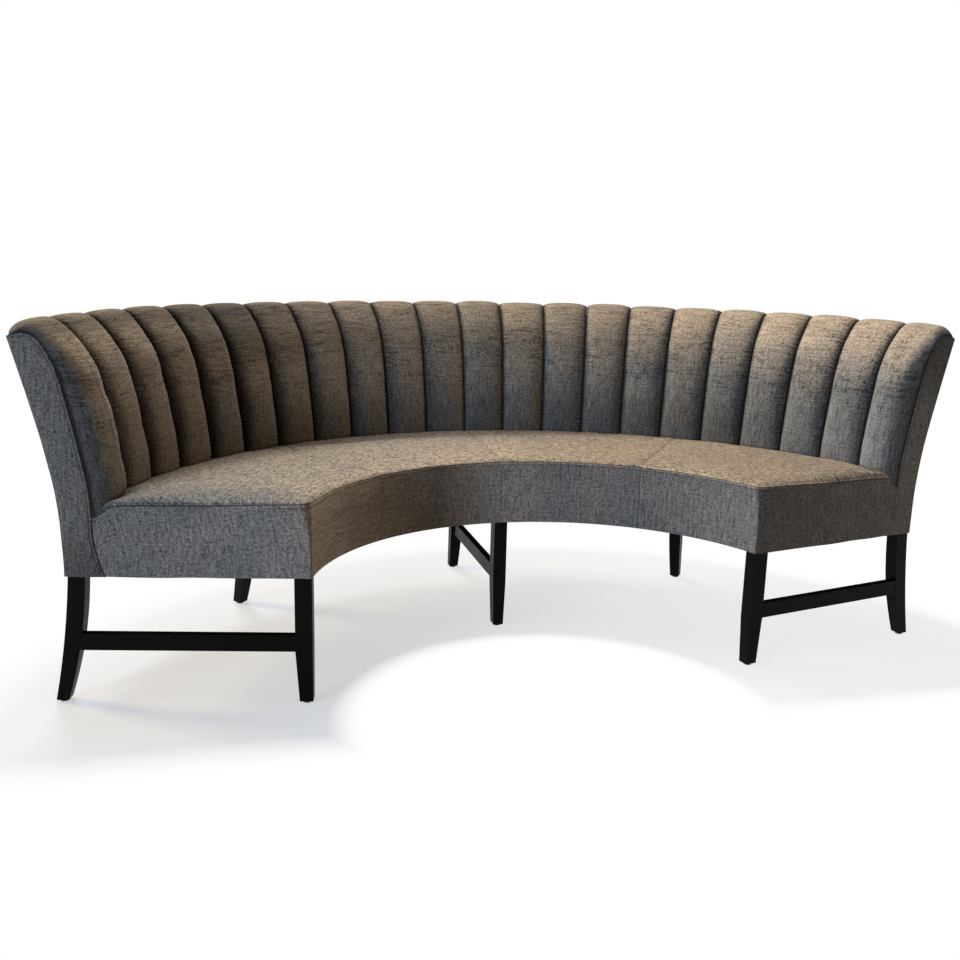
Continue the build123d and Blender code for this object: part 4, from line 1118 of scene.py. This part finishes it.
# Camera
camera = {"place": (-0.77925, -2.81694, 1.06477), "yaw": 14.84, "pitch": 12.68, "roll": 1.44, "lens": 38.35}
yaw, pitch, roll = (np.radians(camera[name]) for name in ("yaw", "pitch", "roll"))
ahead = np.array([np.sin(yaw) * np.cos(pitch), np.cos(yaw) * np.cos(pitch), -np.sin(pitch)])
right = np.array([np.cos(yaw), -np.sin(yaw), 0])
up = np.cross(right, ahead)
eye = newObject("camera", bpy.data.cameras.new("camera"))
eye.data.sensor_width = 36
eye.data.lens = camera["lens"]
stand(eye, np.cos(roll) * right + np.sin(roll) * up, np.cos(roll) * up - np.sin(roll) * right, -ahead,
      camera["place"])
bpy.context.scene.camera = eye
bpy.context.scene.view_settings.view_transform = "Standard"

# Floor: to the camera it is a light of its own with a little shading, which keeps the shadow, and all light
# further off. Other rays find it grey, so that it throws back no more light than a studio floor would.
floor = {
    "colour": (0.56, 0.61, 0.69), "bounce": (0.50, 0.50, 0.50), "halfWidth": 30,
    # places where the light of its own takes over: distance from the axis of the curve, y and x, from where
    # to where, and from which share to which
    "fades": [("away", 0.66, 0.47, 0, 1), ("away", 1.04, 1.50, 0, 1), ("y", -0.54, -0.84, 0, 1),
              ("x", -1.0, 0.9, 0.50, 0.80)],
}
material, tree, shader = newMaterial("studioFloor")
tree.nodes.remove(shader)
add, take, times, larger = sums(tree)[:4]
rays = addNode(tree, "ShaderNodeLightPath")
seen = larger(rays["Is Camera Ray"], larger(rays["Is Glossy Ray"], rays["Is Transmission Ray"]))
shaded = addNode(tree, "ShaderNodeBsdfDiffuse", Color=mixed(tree, seen, floor["bounce"], floor["colour"]))
plain = addNode(tree, "ShaderNodeEmission", Strength=1.0)
place = addNode(tree, "ShaderNodeTexCoord")["Object"]
middle = addNode(tree, "ShaderNodeVectorMath", {"operation": "DISTANCE"}, i0=place, i1=(0, axisY, 0))
split = addNode(tree, "ShaderNodeSeparateXYZ", Vector=place)
values = {"away": middle["Value"], "x": split[0], "y": split[1]}
share = 0.0
for kind, *numbers in floor["fades"]:
    share = larger(ranged(tree, values[kind], *numbers, interpolation_type="SMOOTHSTEP"), share)
blend = addNode(tree, "ShaderNodeMixShader", i0=times(share, seen), i1=shaded[0], i2=plain[0])
setInputs(tree.nodes["Material Output"], {"Surface": blend[0]})
mesh = bpy.data.meshes.new("floor")
wide = floor["halfWidth"]
mesh.from_pydata([(-wide, -wide, 0), (wide, -wide, 0), (wide, wide, 0), (-wide, wide, 0)], [], [(0, 1, 2, 3)])
mesh.materials.append(material)
newObject("floor", mesh)

# World: white to the camera, a faint cool light to all else
world = bpy.data.worlds.new("studio")
world.use_nodes = True
bpy.context.scene.world = world
tree = world.node_tree
rays = addNode(tree, "ShaderNodeLightPath")
seen = sums(tree)[3](rays["Is Camera Ray"], rays["Is Transmission Ray"])
setInputs(tree.nodes["Background"], {"Color": mixed(tree, seen, (0.03, 0.032, 0.036), (1.0, 1.0, 1.0))})

# Lights by place, size, power and colour, aimed at the middle: a wide one overhead, one high behind that
# throws the shadow, a warm one behind on the left, two cool ones on the left and a weak warm one on the right
aim = (0, 0.2, 0.5)
lamps = {
    "overhead": ((-0.3, 0.3, 4.6), 3.2, 70, (1, 1, 1)),
    "behind": ((-0.9, 2.7, 4.7), 1.3, 155, (1, 0.98, 0.97)),
    "leftBehind": ((-4.5, 2.0, 3.2), 1.4, 290, (1, 0.73, 0.37)),
    "leftFront": ((-6.2, -4.4, 2.3), 2.6, 320, (0.74, 0.85, 1)),
    "left": ((-7.4, -1.0, 1.5), 2.6, 120, (0.38, 0.64, 1)),
    "rightFront": ((5.6, -5.2, 2.2), 2.6, 45, (1, 0.60, 0.20)),
}
for name, (place, size, power, colour) in lamps.items():
    lamp = newObject(name, bpy.data.lights.new(name, "AREA"))
    lamp.data.shape = "SQUARE"
    lamp.data.size = size
    lamp.data.energy = power
    lamp.data.color = colour
    back = unit(np.array(place) - aim)
    right = unit(np.cross((0.1, 1, 0.2), back))
    stand(lamp, right, np.cross(back, right), back, place)
print("camera, floor and lights set")
